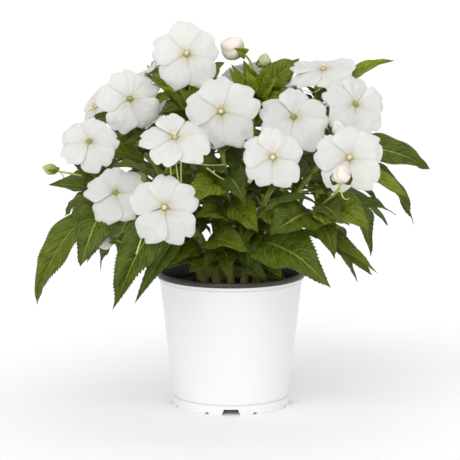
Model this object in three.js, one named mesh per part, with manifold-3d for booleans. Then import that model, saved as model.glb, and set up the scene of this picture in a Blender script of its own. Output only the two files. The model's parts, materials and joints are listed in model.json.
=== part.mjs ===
// A New Guinea impatiens with white blooms, growing in a two-tone nursery pot.
// Millimetres, +Z up. The origin is on the pot's axis, on the surface the pot stands on.
// +X is to the right of someone who faces the plant, and +Y points away from them.
import * as THREE from 'three';
import { mergeVertices } from 'three/addons/utils/BufferGeometryUtils.js';
import Module from 'manifold-3d';

const wasm = await Module();
wasm.setup();

// Driving dimensions of the pot and its soil.
const POT = {
  height: 127,
  rimRadius: 70,
  rimDrop: 4.4,
  collarRadius: 68.4,
  collarDrop: 3.6,
  bodyTopRadius: 67,
  bodyBottomRadius: 54,
  footRadius: 55.2,
  footHeight: 8.4,
  footWidth: 2.6,
  wall: 1.5,
  floorUnder: 6.5,
  floorTop: 8.5,
  sides: 32,
};
const NOTCH = { low: 18, high: 13, height: 5.4, count: 4, depth: 12 };
const NICK = { width: 3.4, height: 1.8, besideNotch: 24 };
const DRAIN = { radius: 4, fromAxis: 38, count: 6, sides: 8 };
const SOIL = { edge: 110, crown: 115, rings: 3, sides: 32, lumps: 1.3 };

// Driving dimensions of the plant.
const CLEAR = 0.35;
const ROOT_REACH = 11;
const STEM = { sides: 6, steps: 6, buried: 12, hole: 0.9, under: 0.4, topShare: 0.55 };
const STALK = { sides: 3, steps: 4, root: 1.5, end: 1.0, seatGap: 0.4 };
const LEAF = {
  petiole: 0.13,
  petioleHalf: 1.1,
  stalk: 1.9,
  blade: 0.8,
  fold: 0.3,
  wave: 0.1,
  tooth: 0.07,
  arch: 0.14,
};
const WHORL = { azimuthSpread: 20, elevationSpread: 14, lengthSpread: 0.24, lean: 0.35 };
const BUD = { sides: 5 };
const PETAL = { thickness: 0.8, twist: 8, cup: 0.2, count: 5 };

const COLOURS = {
  pot: [0xf2f2f0, 0.45],
  soil: [0x2a1d14, 1.0],
  green: [0x3f6420, 0.5],
  petal: [0xf4f3ee, 0.6],
  bud: [0xeee9dc, 0.6],
};

const radians = THREE.MathUtils.degToRad;
const vector = (x, y, z) => new THREE.Vector3(x, y, z);
const mix = (a, b, t) => a + (b - a) * t;

// A repeatable number from 0 to 1 for each whole number.
function chance(n) {
  const s = Math.sin(n * 12.9898 + 4.1414) * 43758.5453;
  return s - Math.floor(s);
}

// A closed solid from points and triangles, turned so that its faces point out.
function solidFrom(positions, triangles) {
  const build = (faces) =>
    new wasm.Manifold(
      new wasm.Mesh({
        numProp: 3,
        vertProperties: new Float32Array(positions),
        triVerts: new Uint32Array(faces),
      }),
    );
  const solid = build(triangles);
  if (solid.volume() > 0) return solid;
  return build(Array.from(triangles).reverse());
}

// The solid inside a closed three.js geometry.
function solidOf(geometry) {
  const bare = geometry.index ? geometry.toNonIndexed() : geometry.clone();
  bare.deleteAttribute('normal');
  bare.deleteAttribute('uv');
  const merged = mergeVertices(bare, 1e-4);
  const faces = [];
  const index = merged.index.array;
  for (let i = 0; i < index.length; i += 3) {
    const [a, b, c] = [index[i], index[i + 1], index[i + 2]];
    if (a !== b && b !== c && c !== a) faces.push(a, b, c);
  }
  return solidFrom(merged.attributes.position.array, faces);
}

// A named mesh of a solid, in its own material.
function piece(name, solid, [colour, roughness]) {
  const mesh = solid.getMesh();
  const positions = new Float32Array(mesh.numVert * 3);
  for (let i = 0; i < mesh.numVert; i++) {
    positions.set(mesh.vertProperties.subarray(i * mesh.numProp, i * mesh.numProp + 3), i * 3);
  }
  const geometry = new THREE.BufferGeometry();
  geometry.setAttribute('position', new THREE.BufferAttribute(positions, 3));
  geometry.setIndex(new THREE.BufferAttribute(new Uint32Array(mesh.triVerts), 1));
  geometry.computeVertexNormals();
  const material = new THREE.MeshStandardMaterial({ color: colour, roughness, metalness: 0 });
  const made = new THREE.Mesh(geometry, material);
  made.name = name;
  return made;
}

const union = (solids) => wasm.Manifold.union(solids);

// A solid turned round Z from a profile of [radius, height] points that starts and ends on the axis.
function turned(profile, sides) {
  const points = profile.map(([r, z]) => new THREE.Vector2(r, z));
  return solidOf(new THREE.LatheGeometry(points, sides).rotateX(Math.PI / 2));
}

// A solid through rings that all have the same number of points, with flat ends.
function loft(rings) {
  const n = rings[0].length;
  const positions = rings.flat().flatMap((p) => p.toArray());
  const faces = [];
  for (let i = 0; i + 1 < rings.length; i++) {
    for (let k = 0; k < n; k++) {
      const [a, b] = [i * n + k, i * n + ((k + 1) % n)];
      faces.push(a, b, b + n, a, b + n, a + n);
    }
  }
  const last = (rings.length - 1) * n;
  for (let k = 1; k + 1 < n; k++) faces.push(0, k + 1, k, last, last + k, last + k + 1);
  return solidFrom(positions, faces);
}

// A tube of varying radius along a list of points, square to a given direction at its end.
function tube(points, radii, sides, end) {
  const along = points.map((p, i) =>
    points[Math.min(i + 1, points.length - 1)].clone().sub(points[Math.max(i - 1, 0)]).normalize(),
  );
  if (end) along[along.length - 1] = end;
  let side = vector(1, 0, 0);
  const rings = points.map((p, i) => {
    side = side.clone().addScaledVector(along[i], -side.dot(along[i])).normalize();
    const other = along[i].clone().cross(side);
    return Array.from({ length: sides }, (_, k) => {
      const a = (2 * Math.PI * k) / sides;
      return p
        .clone()
        .addScaledVector(side, radii[i] * Math.cos(a))
        .addScaledVector(other, radii[i] * Math.sin(a));
    });
  });
  return loft(rings);
}

// A thin plate: both skins lie half the thickness off the given points, in like triangles,
// and a wall closes the edge.
function plate(points, normals, halves, faces) {
  const n = points.length;
  const positions = [];
  for (const sign of [1, -1]) {
    points.forEach((p, i) => {
      positions.push(...p.clone().addScaledVector(normals[i], sign * halves[i]).toArray());
    });
  }
  const all = [];
  const edges = new Map();
  for (const [a, b, c] of faces) {
    all.push(a, b, c, a + n, c + n, b + n);
    for (const [from, to] of [[a, b], [b, c], [c, a]]) {
      if (edges.has(`${to}:${from}`)) edges.delete(`${to}:${from}`);
      else edges.set(`${from}:${to}`, [from, to]);
    }
  }
  for (const [from, to] of edges.values()) all.push(to, from, from + n, to, from + n, to + n);
  return solidFrom(positions, all);
}

// The pot is one moulded wall, with a foot ring, a collar, a rolled rim and a floor above the foot.
function makePot() {
  const p = POT;
  const footInner = p.footRadius - p.footWidth;
  const innerTop = p.bodyTopRadius - p.wall;
  const innerBottom = p.bodyBottomRadius - p.wall;
  const rimUnder = p.height - p.rimDrop;
  const collarUnder = rimUnder - p.collarDrop;
  const body = turned(
    [
      [0, p.floorUnder],
      [footInner - 0.8, p.floorUnder],
      [footInner, 0],
      [p.footRadius, 0],
      [p.footRadius + 0.2, p.footHeight - 0.5],
      [p.bodyBottomRadius, p.footHeight + 0.3],
      [p.bodyTopRadius, collarUnder],
      [p.collarRadius, collarUnder + 0.6],
      [p.collarRadius, rimUnder],
      [p.rimRadius, rimUnder + 0.5],
      [p.rimRadius, p.height - 1.2],
      [p.rimRadius - 1, p.height],
      [innerTop + 1.2, p.height],
      [innerTop, p.height - 1.4],
      [innerBottom, p.floorTop],
      [0, p.floorTop],
    ],
    p.sides,
  );
  const cuts = [];
  const cutAt = (outline, angle) => {
    const block = new THREE.ExtrudeGeometry(outline, { depth: NOTCH.depth, bevelEnabled: false });
    block.rotateX(Math.PI / 2);
    block.translate(0, -p.footRadius + NOTCH.depth * 0.6, -0.5);
    block.rotateZ(radians(angle));
    cuts.push(solidOf(block));
  };
  const notch = new THREE.Shape([
    new THREE.Vector2(-NOTCH.low / 2, 0),
    new THREE.Vector2(NOTCH.low / 2, 0),
    new THREE.Vector2(NOTCH.high / 2, NOTCH.height + 0.5),
    new THREE.Vector2(-NOTCH.high / 2, NOTCH.height + 0.5),
  ]);
  const nick = new THREE.Shape([
    new THREE.Vector2(-NICK.width / 2, 0),
    new THREE.Vector2(NICK.width / 2, 0),
    new THREE.Vector2(NICK.width / 2, NICK.height + 0.5),
    new THREE.Vector2(-NICK.width / 2, NICK.height + 0.5),
  ]);
  for (let i = 0; i < NOTCH.count; i++) {
    const angle = (360 * i) / NOTCH.count;
    cutAt(notch, angle);
    cutAt(nick, angle - NICK.besideNotch);
    cutAt(nick, angle + NICK.besideNotch);
  }
  for (let i = 0; i < DRAIN.count; i++) {
    const a = (2 * Math.PI * (i + 0.5)) / DRAIN.count;
    const hole = new THREE.CylinderGeometry(DRAIN.radius, DRAIN.radius, 10, DRAIN.sides);
    hole.rotateX(Math.PI / 2);
    hole.translate(DRAIN.fromAxis * Math.cos(a), DRAIN.fromAxis * Math.sin(a), p.floorTop);
    cuts.push(solidOf(hole));
  }
  return body.subtract(union(cuts));
}

// The height of the soil's surface at a distance from the pot's axis.
const soilHeight = (r) => mix(SOIL.crown, SOIL.edge, (r / (POT.bodyTopRadius - POT.wall)) ** 2);

// The soil fills the pot to just under its rim, heaped and lumpy, with a plain hole for each stem.
function makeSoil(stems) {
  const share = (z) => (z - POT.floorTop) / (POT.height - 1.4 - POT.floorTop);
  const radiusAt = (z) => mix(POT.bodyBottomRadius, POT.bodyTopRadius, share(z)) - POT.wall - 0.35;
  const low = POT.floorTop + 0.3;
  const profile = [[0, low], [radiusAt(low), low], [radiusAt(SOIL.edge), SOIL.edge]];
  for (let i = SOIL.rings - 1; i >= 0; i--) {
    const r = ((radiusAt(SOIL.edge) - 6) * i) / (SOIL.rings - 1);
    profile.push([r, soilHeight(r)]);
  }
  const points = profile.map(([r, z]) => new THREE.Vector2(r, z));
  const geometry = new THREE.LatheGeometry(points, SOIL.sides).rotateX(Math.PI / 2);
  const at = geometry.attributes.position;
  for (let i = 0; i < at.count; i++) {
    const [x, y, z] = [at.getX(i), at.getY(i), at.getZ(i)];
    const lump = Math.sin(x * 0.31 + 1.3) * Math.cos(y * 0.27) + Math.sin((x + y) * 0.13);
    if (z > SOIL.edge + 0.1) at.setZ(i, z + SOIL.lumps * 0.5 * lump);
  }
  const holes = stems.map((stem) => {
    const length = STEM.buried + 10;
    const radius = stem.radius + STEM.hole;
    const hole = new THREE.CylinderGeometry(radius, radius, length, 6).rotateX(Math.PI / 2);
    hole.translate(stem.path[0].x, stem.path[0].y, stem.path[0].z - STEM.under + length / 2);
    return solidOf(hole);
  });
  return solidOf(geometry).subtract(union(holes));
}

// A stem stands upright in the soil, then bends outward to its top.
function stemPoint(stem, t) {
  const ground = soilHeight(Math.hypot(...stem.foot));
  const foot = vector(stem.foot[0], stem.foot[1], ground);
  const top = vector(...stem.top);
  const bend = vector(
    mix(foot.x, top.x, stem.lean ?? 0.22),
    mix(foot.y, top.y, stem.lean ?? 0.22),
    mix(foot.z, top.z, stem.rise ?? 0.55),
  );
  return foot
    .multiplyScalar((1 - t) ** 2)
    .addScaledVector(bend, 2 * t * (1 - t))
    .addScaledVector(top, t * t);
}

function stemPath(stem) {
  const points = Array.from({ length: STEM.steps }, (_, i) => stemPoint(stem, i / (STEM.steps - 1)));
  points[0].z += 1;
  return [vector(points[0].x, points[0].y, points[0].z - STEM.buried), ...points];
}

// How far a leaf's edge stands off its rib, as a share of the half width, from the blade's foot
// (0) to its tip (1).
const bladeShare = (b) => (b ** 0.72 * (1 - b) ** 1.25) / 0.2743;

// A leaf: a stalk that widens to a thin folded blade with a waved edge, arched from its root to its tip.
const EDGE_STEPS = {
  large: [0.12, 0.3, 0.5, 0.7, 0.88],
  middle: [0.15, 0.38, 0.64, 0.86],
  small: [0.2, 0.5, 0.8],
};
const RIB_STEPS = { large: [0.34, 0.7], middle: [0.36, 0.72], small: [0.48] };
const LARGE_WIDTH = 40;
const MIDDLE_WIDTH = 27;
function leafSolid(root, tip, width, facing, arch) {
  const chord = tip.clone().sub(root);
  const length = chord.length();
  const along = chord.clone().normalize();
  const side = along.clone().cross(facing).normalize();
  const rise = side.clone().cross(along);
  const spine = (s) =>
    root
      .clone()
      .addScaledVector(along, length * s)
      .addScaledVector(rise, 4 * arch * length * s * (1 - s));
  const upOf = (s) => {
    const forward = along.clone().addScaledVector(rise, 4 * arch * (1 - 2 * s)).normalize();
    return side.clone().cross(forward).normalize();
  };
  const points = [];
  const normals = [];
  const halves = [];
  const add = (s, across, lift) => {
    const up = upOf(s);
    points.push(spine(s).addScaledVector(side, across).addScaledVector(up, lift));
    normals.push(up);
    halves.push(mix(LEAF.stalk, LEAF.blade, Math.min(1, s / (LEAF.petiole + 0.12))) / 2);
    return points.length - 1;
  };
  const kind = width >= LARGE_WIDTH ? 'large' : width >= MIDDLE_WIDTH ? 'middle' : 'small';
  const bladeAt = (b) => LEAF.petiole + b * (1 - LEAF.petiole);
  const ribS = [LEAF.petiole, ...RIB_STEPS[kind].map(bladeAt), 1];
  const edgeB = EDGE_STEPS[kind];
  const edgeS = [0, LEAF.petiole, ...edgeB.map(bladeAt), 1];
  const rib = ribS.map((s) => add(s, 0, 0));
  const faces = [];
  const roots = [];
  for (const hand of [1, -1]) {
    const edge = edgeS.map((s, i) => {
      if (s === 1) return rib[rib.length - 1];
      if (i < 2) return add(s, hand * LEAF.petioleHalf, 0);
      const b = edgeB[i - 2];
      const tooth = 1 + LEAF.tooth * (i % 2 ? -1 : 1);
      const half = (width / 2) * bladeShare(b) * tooth;
      const wave = LEAF.wave * (i % 2 ? 1 : -1);
      return add(s, hand * half * Math.cos(LEAF.fold), half * (Math.sin(LEAF.fold) + wave));
    });
    roots.push(edge[0]);
    let [i, j] = [0, 0];
    while (i < rib.length - 1 || j < edge.length - 1) {
      const stepEdge = j < edge.length - 1 && (i === rib.length - 1 || edgeS[j + 1] <= ribS[i + 1]);
      const face = stepEdge ? [rib[i], edge[j], edge[j + 1]] : [rib[i], edge[j], rib[i + 1]];
      if (stepEdge) j++;
      else i++;
      if (new Set(face).size === 3) faces.push(hand > 0 ? face : [face[0], face[2], face[1]]);
    }
  }
  faces.push([rib[0], roots[1], roots[0]]);
  return plate(points, normals, halves, faces);
}

// A leaf faces up and leans towards an azimuth, by default away from the pot's axis.
function facingOf(tip, lean, azimuth) {
  const out = azimuth === undefined ? Math.atan2(tip.y, tip.x) : radians(azimuth);
  return vector(lean * Math.cos(out), lean * Math.sin(out), 1).normalize();
}

// The directions of a bloom or bud: forward out of its face, to its right, and up across its face.
function headFrame(head) {
  const [az, el] = head.face.map(radians);
  const normal = vector(Math.cos(az) * Math.cos(el), Math.sin(az) * Math.cos(el), Math.sin(el));
  const right = vector(0, 0, 1).cross(normal).normalize();
  return { normal, right, up: normal.clone().cross(right), centre: vector(...head.at) };
}

// A bloom has five notched petals that overlap like a pinwheel. They grow from the five edges of a
// small hub, which rises to the stamens' cap in front and tapers to the stalk behind.
const PETAL_SIZES = [0.92, 0.97, 1.06, 1.06, 0.97];
const PETAL_OUTLINE = [
  [0.3, -0.2],
  [0.68, -0.53],
  [0.95, -0.32],
  [0.91, 0],
  [0.95, 0.32],
  [0.68, 0.53],
  [0.3, 0.2],
];
const PETAL_HEART = [0.5, 0];
const HUB = { radius: 3.2, front: 4.8, back: 3.2 };

function bloomSolid(bloom) {
  const { normal, right, up, centre } = headFrame(bloom);
  const round = (degrees) => {
    const a = radians(90 + bloom.roll + degrees);
    return right.clone().multiplyScalar(Math.cos(a)).addScaledVector(up, Math.sin(a));
  };
  const middle = [];
  const step = 360 / PETAL.count;
  for (let k = 0; k < PETAL.count; k++) {
    middle.push(centre.clone().addScaledVector(round((k - 0.5) * step), HUB.radius));
  }
  const skin = [];
  const rims = [];
  for (let k = 0; k < PETAL.count; k++) {
    const out = round(k * step);
    const across = normal.clone().cross(out);
    const size = (bloom.diameter / 2) * PETAL_SIZES[k];
    const first = middle.length;
    for (const [r, w] of [...PETAL_OUTLINE, PETAL_HEART]) {
      const cup = PETAL.cup * r * (1 - 1.1 * r) + w * Math.tan(radians(PETAL.twist));
      middle.push(
        centre
          .clone()
          .addScaledVector(out, size * r)
          .addScaledVector(across, size * w)
          .addScaledVector(normal, size * cup),
      );
    }
    const heart = first + PETAL_OUTLINE.length;
    const rim = [k, ...PETAL_OUTLINE.map((_, i) => first + i), (k + 1) % PETAL.count];
    rim.forEach((from, i) => skin.push([heart, from, rim[(i + 1) % rim.length]]));
    rim.slice(1).forEach((to, i) => rims.push([rim[i], to]));
  }
  const n = middle.length;
  const points = [];
  for (const sign of [1, -1]) {
    for (const m of middle) points.push(m.clone().addScaledVector(normal, (sign * PETAL.thickness) / 2));
  }
  points.push(centre.clone().addScaledVector(normal, HUB.front));
  points.push(centre.clone().addScaledVector(normal, -HUB.back));
  const faces = [];
  for (const [a, b, c] of skin) faces.push(a, b, c, a + n, c + n, b + n);
  for (const [from, to] of rims) faces.push(to, from, from + n, to, from + n, to + n);
  for (let k = 0; k < PETAL.count; k++) {
    const next = (k + 1) % PETAL.count;
    faces.push(2 * n, k, next, 2 * n + 1, next + n, k + n);
  }
  return solidFrom(points.flatMap((q) => q.toArray()), faces);
}

// A bud is a drop of furled petals that tapers to a blunt tip.
const BUD_SHAPE = [
  [0, 0.3],
  [0.22, 0.82],
  [0.5, 1],
  [0.8, 0.62],
  [1, 0.14],
];
function budSolid(bud) {
  const { normal, right, up, centre } = headFrame(bud);
  return loft(
    BUD_SHAPE.map(([s, r]) =>
      Array.from({ length: BUD.sides }, (_, k) => {
        const a = (2 * Math.PI * k) / BUD.sides;
        return centre
          .clone()
          .addScaledVector(normal, bud.length * (s - 0.5))
          .addScaledVector(right, (bud.width / 2) * r * Math.cos(a))
          .addScaledVector(up, (bud.width / 2) * r * Math.sin(a));
      }),
    ),
  );
}

// The back of a bloom or bud, where its stalk ends.
function seatOf(item) {
  const { normal, centre } = headFrame(item);
  const back = item.length ? item.length / 2 : HUB.back;
  return centre.addScaledVector(normal, -back - STALK.seatGap);
}

// A flower stalk leaves its stem, rises and swings sideways by shares of its reach, and comes up
// behind its bloom.
function stalkPath(stem, item, [lift, push]) {
  const { normal, right } = headFrame(item);
  const seat = seatOf(item);
  const root = stemPoint(stem, item.from);
  const reach = seat.distanceTo(root);
  const curve = new THREE.CubicBezierCurve3(
    root,
    root.clone().add(vector(0, 0, lift * reach)).addScaledVector(right, push * reach),
    seat.clone().addScaledVector(normal, -Math.min(14, reach * 0.4)),
    seat,
  );
  return curve.getPoints(STALK.steps);
}

// Each stem: where it stands in the soil, where its top is, the leaves with a set tip as
// [place on the stem, tip x, y, z, width, lean, azimuth of that lean, arch], and the whorls as
// [place on the stem, count, first azimuth, elevation, leaf length, leaf width].
const STEMS = [
  {
    name: 'front_left', foot: [-13, -24], top: [-64, -84, 219], rise: 0.6, lean: 0.25, radius: 4.4,
    leaves: [
      [0.8, -106, -152, 121, 40, 1.4, -100, 0.1],
      [0.7, -80, -92, 151, 30, 1.3, -130, 0.18],
      [0.6, -91, -108, 121, 20, 1.0, -60, 0.2],
      [0.42, -83, -104, 152, 30, 1.3, -95, 0.1],
      [0.52, -50, -92, 171, 22, 1.4, -90, 0.12],
      [0.33, 17, -116, 168, 32, 1.5, -90, 0.12],
      [0.16, -38, -64, 137, 22, 1.2, -90, 0.16],
    ],
    whorls: [[1, 2, 40, 14, 50, 24]],
  },
  {
    name: 'low_left', foot: [-24, -12], top: [-116, -52, 206], rise: 0.66, lean: 0.3, radius: 4.4,
    leaves: [
      [0.98, -184, -45, 106, 31, 1.8, -110, 0.16],
      [0.94, -134, -126, 157, 50, 1.9, -95, 0.16],
      [0.99, -167, -50, 214, 21, 0.7, -90, 0.12],
      [0.92, -157, -12, 218, 27, 0.9, -100, 0.14],
      [0.88, -151, -80, 217, 27, 1.3, -90, 0.1],
      [0.84, -130, -66, 149, 26, 1.0, -100, 0.18],
      [0.6, -128, 10, 128, 34, 0.6, 150, 0.14],
    ],
    whorls: [[1, 2, 30, 18, 46, 22]],
  },
  {
    name: 'high_left', foot: [-28, 1], top: [-96, -5, 262], rise: 0.55, radius: 4.2,
    leaves: [
      [0.92, -132, -24, 274, 24, 0.7, -100, 0.12],
      [0.8, -59, -60, 247, 30, 0.9, -90, 0.12],
      [0.97, -67, -36, 305, 20, 0.5, -90, 0.1],
      [0.72, -159, 16, 232, 38, 0.6, -110, 0.14],
    ],
    whorls: [[1, 2, 60, 22, 48, 23], [0.5, 2, 110, -6, 84, 38]],
  },
  {
    name: 'top_left', foot: [-9, -3], top: [-43, 8, 292], rise: 0.5, radius: 4.2,
    leaves: [
      [0.98, -76, 20, 317, 22, 0.9, -80, 0.1],
      [0.96, -8, 22, 323, 24, 1.1, -90, 0.06],
      [0.85, -74, -36, 294, 30, 0.8, -90, 0.14],
    ],
    whorls: [[0.7, 3, 80, 4, 76, 34]],
  },
  {
    name: 'front_middle', foot: [0, -27], top: [-8, -60, 247], rise: 0.55, radius: 4.4,
    leaves: [
      [0.72, -40, -118, 208, 34, 1.3, -90, 0.12],
      [0.42, -32, -102, 195, 32, 1.3, -90, 0.12],
      [0.85, -33, -86, 236, 30, 1.0, -90, 0.12],
      [0.8, 13, -108, 210, 28, 1.4, -90, 0.12],
      [0.6, 28, -98, 180, 30, 1.4, -90, 0.1],
      [0.24, -3, -82, 137, 22, 1.3, -90, 0.16],
    ],
    whorls: [[1, 2, 30, 16, 46, 22]],
  },
  {
    name: 'top_middle', foot: [5, 6], top: [25, 12, 289], rise: 0.5, radius: 4,
    leaves: [
      [0.97, 7, 2, 324, 18, 1.2, -90, 0.05],
      [0.99, 57, 28, 330, 30, 1.5, -95, 0.1],
      [0.93, 1, -22, 304, 20, 0.6, -90, 0.1],
      [0.9, 34, -34, 300, 28, 0.6, -90, 0.2],
      [0.82, 61, 2, 292, 28, 0.8, -90, 0.14],
    ],
    whorls: [[0.7, 2, 60, 2, 78, 36]],
  },
  {
    name: 'high_right', foot: [27, 7], top: [80, 10, 286], rise: 0.52, radius: 4.2,
    leaves: [
      [1, 149, 20, 326, 20, 0.6, -60, 0.08],
      [0.88, 111, -50, 279, 28, 0.8, -90, 0.1],
      [0.84, 63, -52, 268, 28, 0.9, -90, 0.14],
    ],
    whorls: [[0.96, 2, 40, 16, 52, 25], [0.66, 2, 50, -2, 82, 36]],
  },
  {
    name: 'right', foot: [28, -5], top: [101, -30, 252], rise: 0.58, radius: 4.4,
    leaves: [
      [0.95, 187, -28, 226, 31, 1.3, -90, 0.16],
      [0.72, 163, -75, 204, 32, 0.6, -70, 0.14],
      [0.76, 33, -104, 219, 24, 0.7, -90, 0.1],
      [0.6, 150, -2, 170, 40, 0.6, 0, 0.14],
    ],
    whorls: [[1, 3, 40, 18, 46, 22]],
  },
  {
    name: 'low_right', foot: [23, -17], top: [86, -74, 199], rise: 0.66, lean: 0.3, radius: 4.6,
    leaves: [
      [0.98, 151, -62, 193, 15, 0.8, -90, 0.14],
      [0.9, 121, -114, 184, 46, 1.8, -75, 0.16],
      [0.88, 97, -104, 160, 25, 1.6, -90, 0.14],
      [0.8, 131, -84, 135, 18, 1.2, -110, 0.1],
      [0.94, 109, -124, 192, 26, 1.3, -90, 0.12],
      [0.86, 35, -126, 191, 48, 1.8, -90, 0.12],
      [0.97, 21, -112, 196, 13, 0.5, -90, 0.2],
      [0.6, 118, -30, 128, 34, 0.6, -20, 0.14],
    ],
    whorls: [],
  },
  {
    name: 'middle_right', foot: [12, -24], top: [38, -70, 217], rise: 0.58, radius: 4.6,
    leaves: [
      [0.38, 90, -146, 146, 54, 1.7, -85, 0.1],
      [0.62, -17, -90, 181, 20, 1.0, -90, 0.12],
      [0.5, 11, -98, 154, 24, 1.6, -90, 0.14],
      [0.75, 66, -100, 196, 34, 1.3, -90, 0.14],
    ],
    whorls: [[1, 3, 15, 14, 44, 21]],
  },
  {
    name: 'back_left', foot: [-22, 16], top: [-92, 60, 240], rise: 0.58, radius: 4.4,
    leaves: [
      [0.9, -172, 66, 158, 40, 0.8, 160, 0.14],
      [0.7, -112, 128, 128, 42, 0.8, 130, 0.14],
      [0.5, -110, 62, 132, 34, 0.6, 150, 0.14],
    ],
    whorls: [[1, 3, 20, 14, 54, 25], [0.72, 2, 100, -14, 80, 38]],
  },
  {
    name: 'back_middle', foot: [-7, 27], top: [-30, 94, 244], rise: 0.6, radius: 4.4,
    leaves: [
      [0.86, -54, 152, 150, 42, 0.8, 110, 0.14],
      [0.5, 4, 118, 128, 36, 0.8, 90, 0.14],
      [0.4, -60, 104, 138, 32, 0.6, 120, 0.14],
    ],
    whorls: [[1, 3, 60, 14, 54, 25], [0.7, 2, 20, -10, 78, 38]],
  },
  {
    name: 'back_right', foot: [10, 27], top: [44, 92, 248], rise: 0.6, radius: 4.4,
    leaves: [
      [0.88, 84, 148, 156, 42, 0.8, 60, 0.14],
      [0.6, 44, 136, 132, 38, 0.8, 70, 0.14],
    ],
    whorls: [[1, 3, 0, 14, 54, 25], [0.68, 3, 40, -8, 78, 38]],
  },
  {
    name: 'far_right', foot: [21, 19], top: [104, 48, 238], rise: 0.6, radius: 4.4,
    leaves: [
      [0.9, 176, 74, 162, 42, 0.8, 25, 0.14],
      [0.68, 140, 106, 130, 40, 0.8, 35, 0.14],
      [0.45, 116, 66, 130, 34, 0.6, 30, 0.14],
    ],
    whorls: [[1, 3, 30, 14, 52, 24], [0.62, 2, 0, -10, 80, 38]],
  },
];

// Each bloom: its stem and the place on it, its middle, where it faces as azimuth and elevation,
// its size and its turn about its own axis.
const BLOOMS = [
  {
    name: 'peak', stem: 'top_left', from: 0.9,
    at: [-41, -15, 333], face: [-88, 16], diameter: 66, roll: 4,
  },
  {
    name: 'upper_left', stem: 'high_left', from: 0.94,
    at: [-93, -32, 293], face: [-74, 12], diameter: 61, roll: 16,
  },
  {
    name: 'left', stem: 'low_left', from: 0.98,
    at: [-129, -60, 257], face: [-96, 38], diameter: 58, roll: -10,
  },
  {
    name: 'low_left', stem: 'low_left', from: 0.9,
    at: [-104, -100, 216], face: [-98, 24], diameter: 57, roll: 14,
  },
  {
    name: 'front_left', stem: 'front_left', from: 0.86,
    at: [-59, -135, 208], face: [-92, 8], diameter: 64, roll: 0,
  },
  {
    name: 'inner_left', stem: 'front_left', from: 0.96,
    at: [-50, -118, 268], face: [-92, 52], diameter: 65, roll: 12,
  },
  {
    name: 'middle', stem: 'front_middle', from: 0.97,
    at: [-9, -72, 286], face: [-90, 10], diameter: 68, roll: 8,
  },
  {
    name: 'front_right', stem: 'middle_right', from: 0.95,
    at: [37, -120, 251], face: [-90, 4], diameter: 57, roll: 0,
  },
  {
    name: 'upper_right', stem: 'middle_right', from: 0.98,
    at: [57, -66, 280], face: [-80, 38], diameter: 66, roll: -8,
  },
  {
    name: 'right', stem: 'right', from: 0.86,
    at: [106, -104, 248], face: [-88, 16], diameter: 63, roll: 6,
  },
  {
    name: 'far_right', stem: 'right', from: 0.96,
    at: [114, -40, 289], face: [-62, 18], diameter: 62, roll: -14,
  },
  {
    name: 'top_right', stem: 'high_right', from: 0.94,
    at: [86, -6, 317], face: [-112, 68], diameter: 64, roll: 10,
  },
  {
    name: 'left_behind', stem: 'high_left', from: 0.86,
    at: [-126, 16, 280], face: [-150, 28], diameter: 54, roll: 5,
  },
  {
    name: 'top_behind', stem: 'top_left', from: 0.94,
    at: [-76, 34, 313], face: [150, 52], diameter: 58, roll: 0,
  },
  {
    name: 'top_back', stem: 'top_middle', from: 0.88,
    at: [18, 66, 304], face: [85, 52], diameter: 62, roll: 9,
  },
  {
    name: 'back_left_high', stem: 'back_left', from: 0.96,
    at: [-84, 88, 272], face: [128, 26], diameter: 62, roll: 3,
  },
  {
    name: 'back_left_low', stem: 'back_left', from: 0.88,
    at: [-128, 84, 216], face: [150, 14], diameter: 60, roll: 20,
  },
  {
    name: 'back_middle_high', stem: 'back_middle', from: 0.95,
    at: [-30, 118, 282], face: [100, 30], diameter: 64, roll: -6,
  },
  {
    name: 'back_right_high', stem: 'back_right', from: 0.95,
    at: [44, 112, 288], face: [76, 30], diameter: 62, roll: 15,
  },
  {
    name: 'back_right_low', stem: 'back_right', from: 0.86,
    at: [30, 142, 216], face: [84, 10], diameter: 63, roll: -4,
  },
  {
    name: 'far_right_high', stem: 'far_right', from: 0.95,
    at: [112, 72, 268], face: [38, 24], diameter: 62, roll: 0,
  },
];

const BUDS = [
  {
    name: 'large', stem: 'top_middle', from: 0.96,
    at: [1, 10, 336], face: [-160, 28], length: 25, width: 24,
  },
  {
    name: 'small', stem: 'top_middle', from: 0.98,
    at: [31, -2, 326], face: [-60, 66], length: 14, width: 12,
  },
  {
    name: 'left', stem: 'low_left', from: 0.99,
    at: [-167, -34, 228], face: [168, 12], length: 15, width: 11,
  },
  {
    name: 'right', stem: 'right', from: 0.93,
    at: [97, -79, 271], face: [-120, 60], length: 18, width: 12,
  },
  {
    name: 'front_right', stem: 'low_right', from: 0.95,
    at: [98, -134, 237], face: [-82, 62], length: 19, width: 16,
  },
  {
    name: 'inner_left', stem: 'front_left', from: 0.94,
    at: [-80, -84, 228], face: [-130, 55], length: 14, width: 10,
  },
  {
    name: 'low_left', stem: 'low_left', from: 0.78,
    at: [-116, -52, 163], face: [-140, -8], length: 18, width: 15,
  },
  {
    name: 'back', stem: 'back_middle', from: 0.9,
    at: [2, 132, 252], face: [70, 42], length: 18, width: 14,
  },
];

// How a leaf may swing away from its set line, in degrees sideways and up, and how much shorter it
// may be, to stay clear of the rest.
const SWINGS = [[0, 0]];
for (const reach of [9, 18, 28, 38]) {
  for (let k = 0; k < 8; k++) {
    const turn = (k * Math.PI) / 4;
    SWINGS.push([reach * Math.cos(turn), reach * Math.sin(turn)]);
  }
}
const SHORTER = [1, 0.84, 0.7, 0.56];

// How a flower stalk may rise and swing, as shares of its reach.
const BENDS = [];
for (const push of [0, 0.15, -0.15, 0.3, -0.3, 0.45, -0.45, 0.6, -0.6]) {
  for (const lift of [0.35, 0.1, 0.6, -0.1]) BENDS.push([lift, push]);
}

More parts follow.
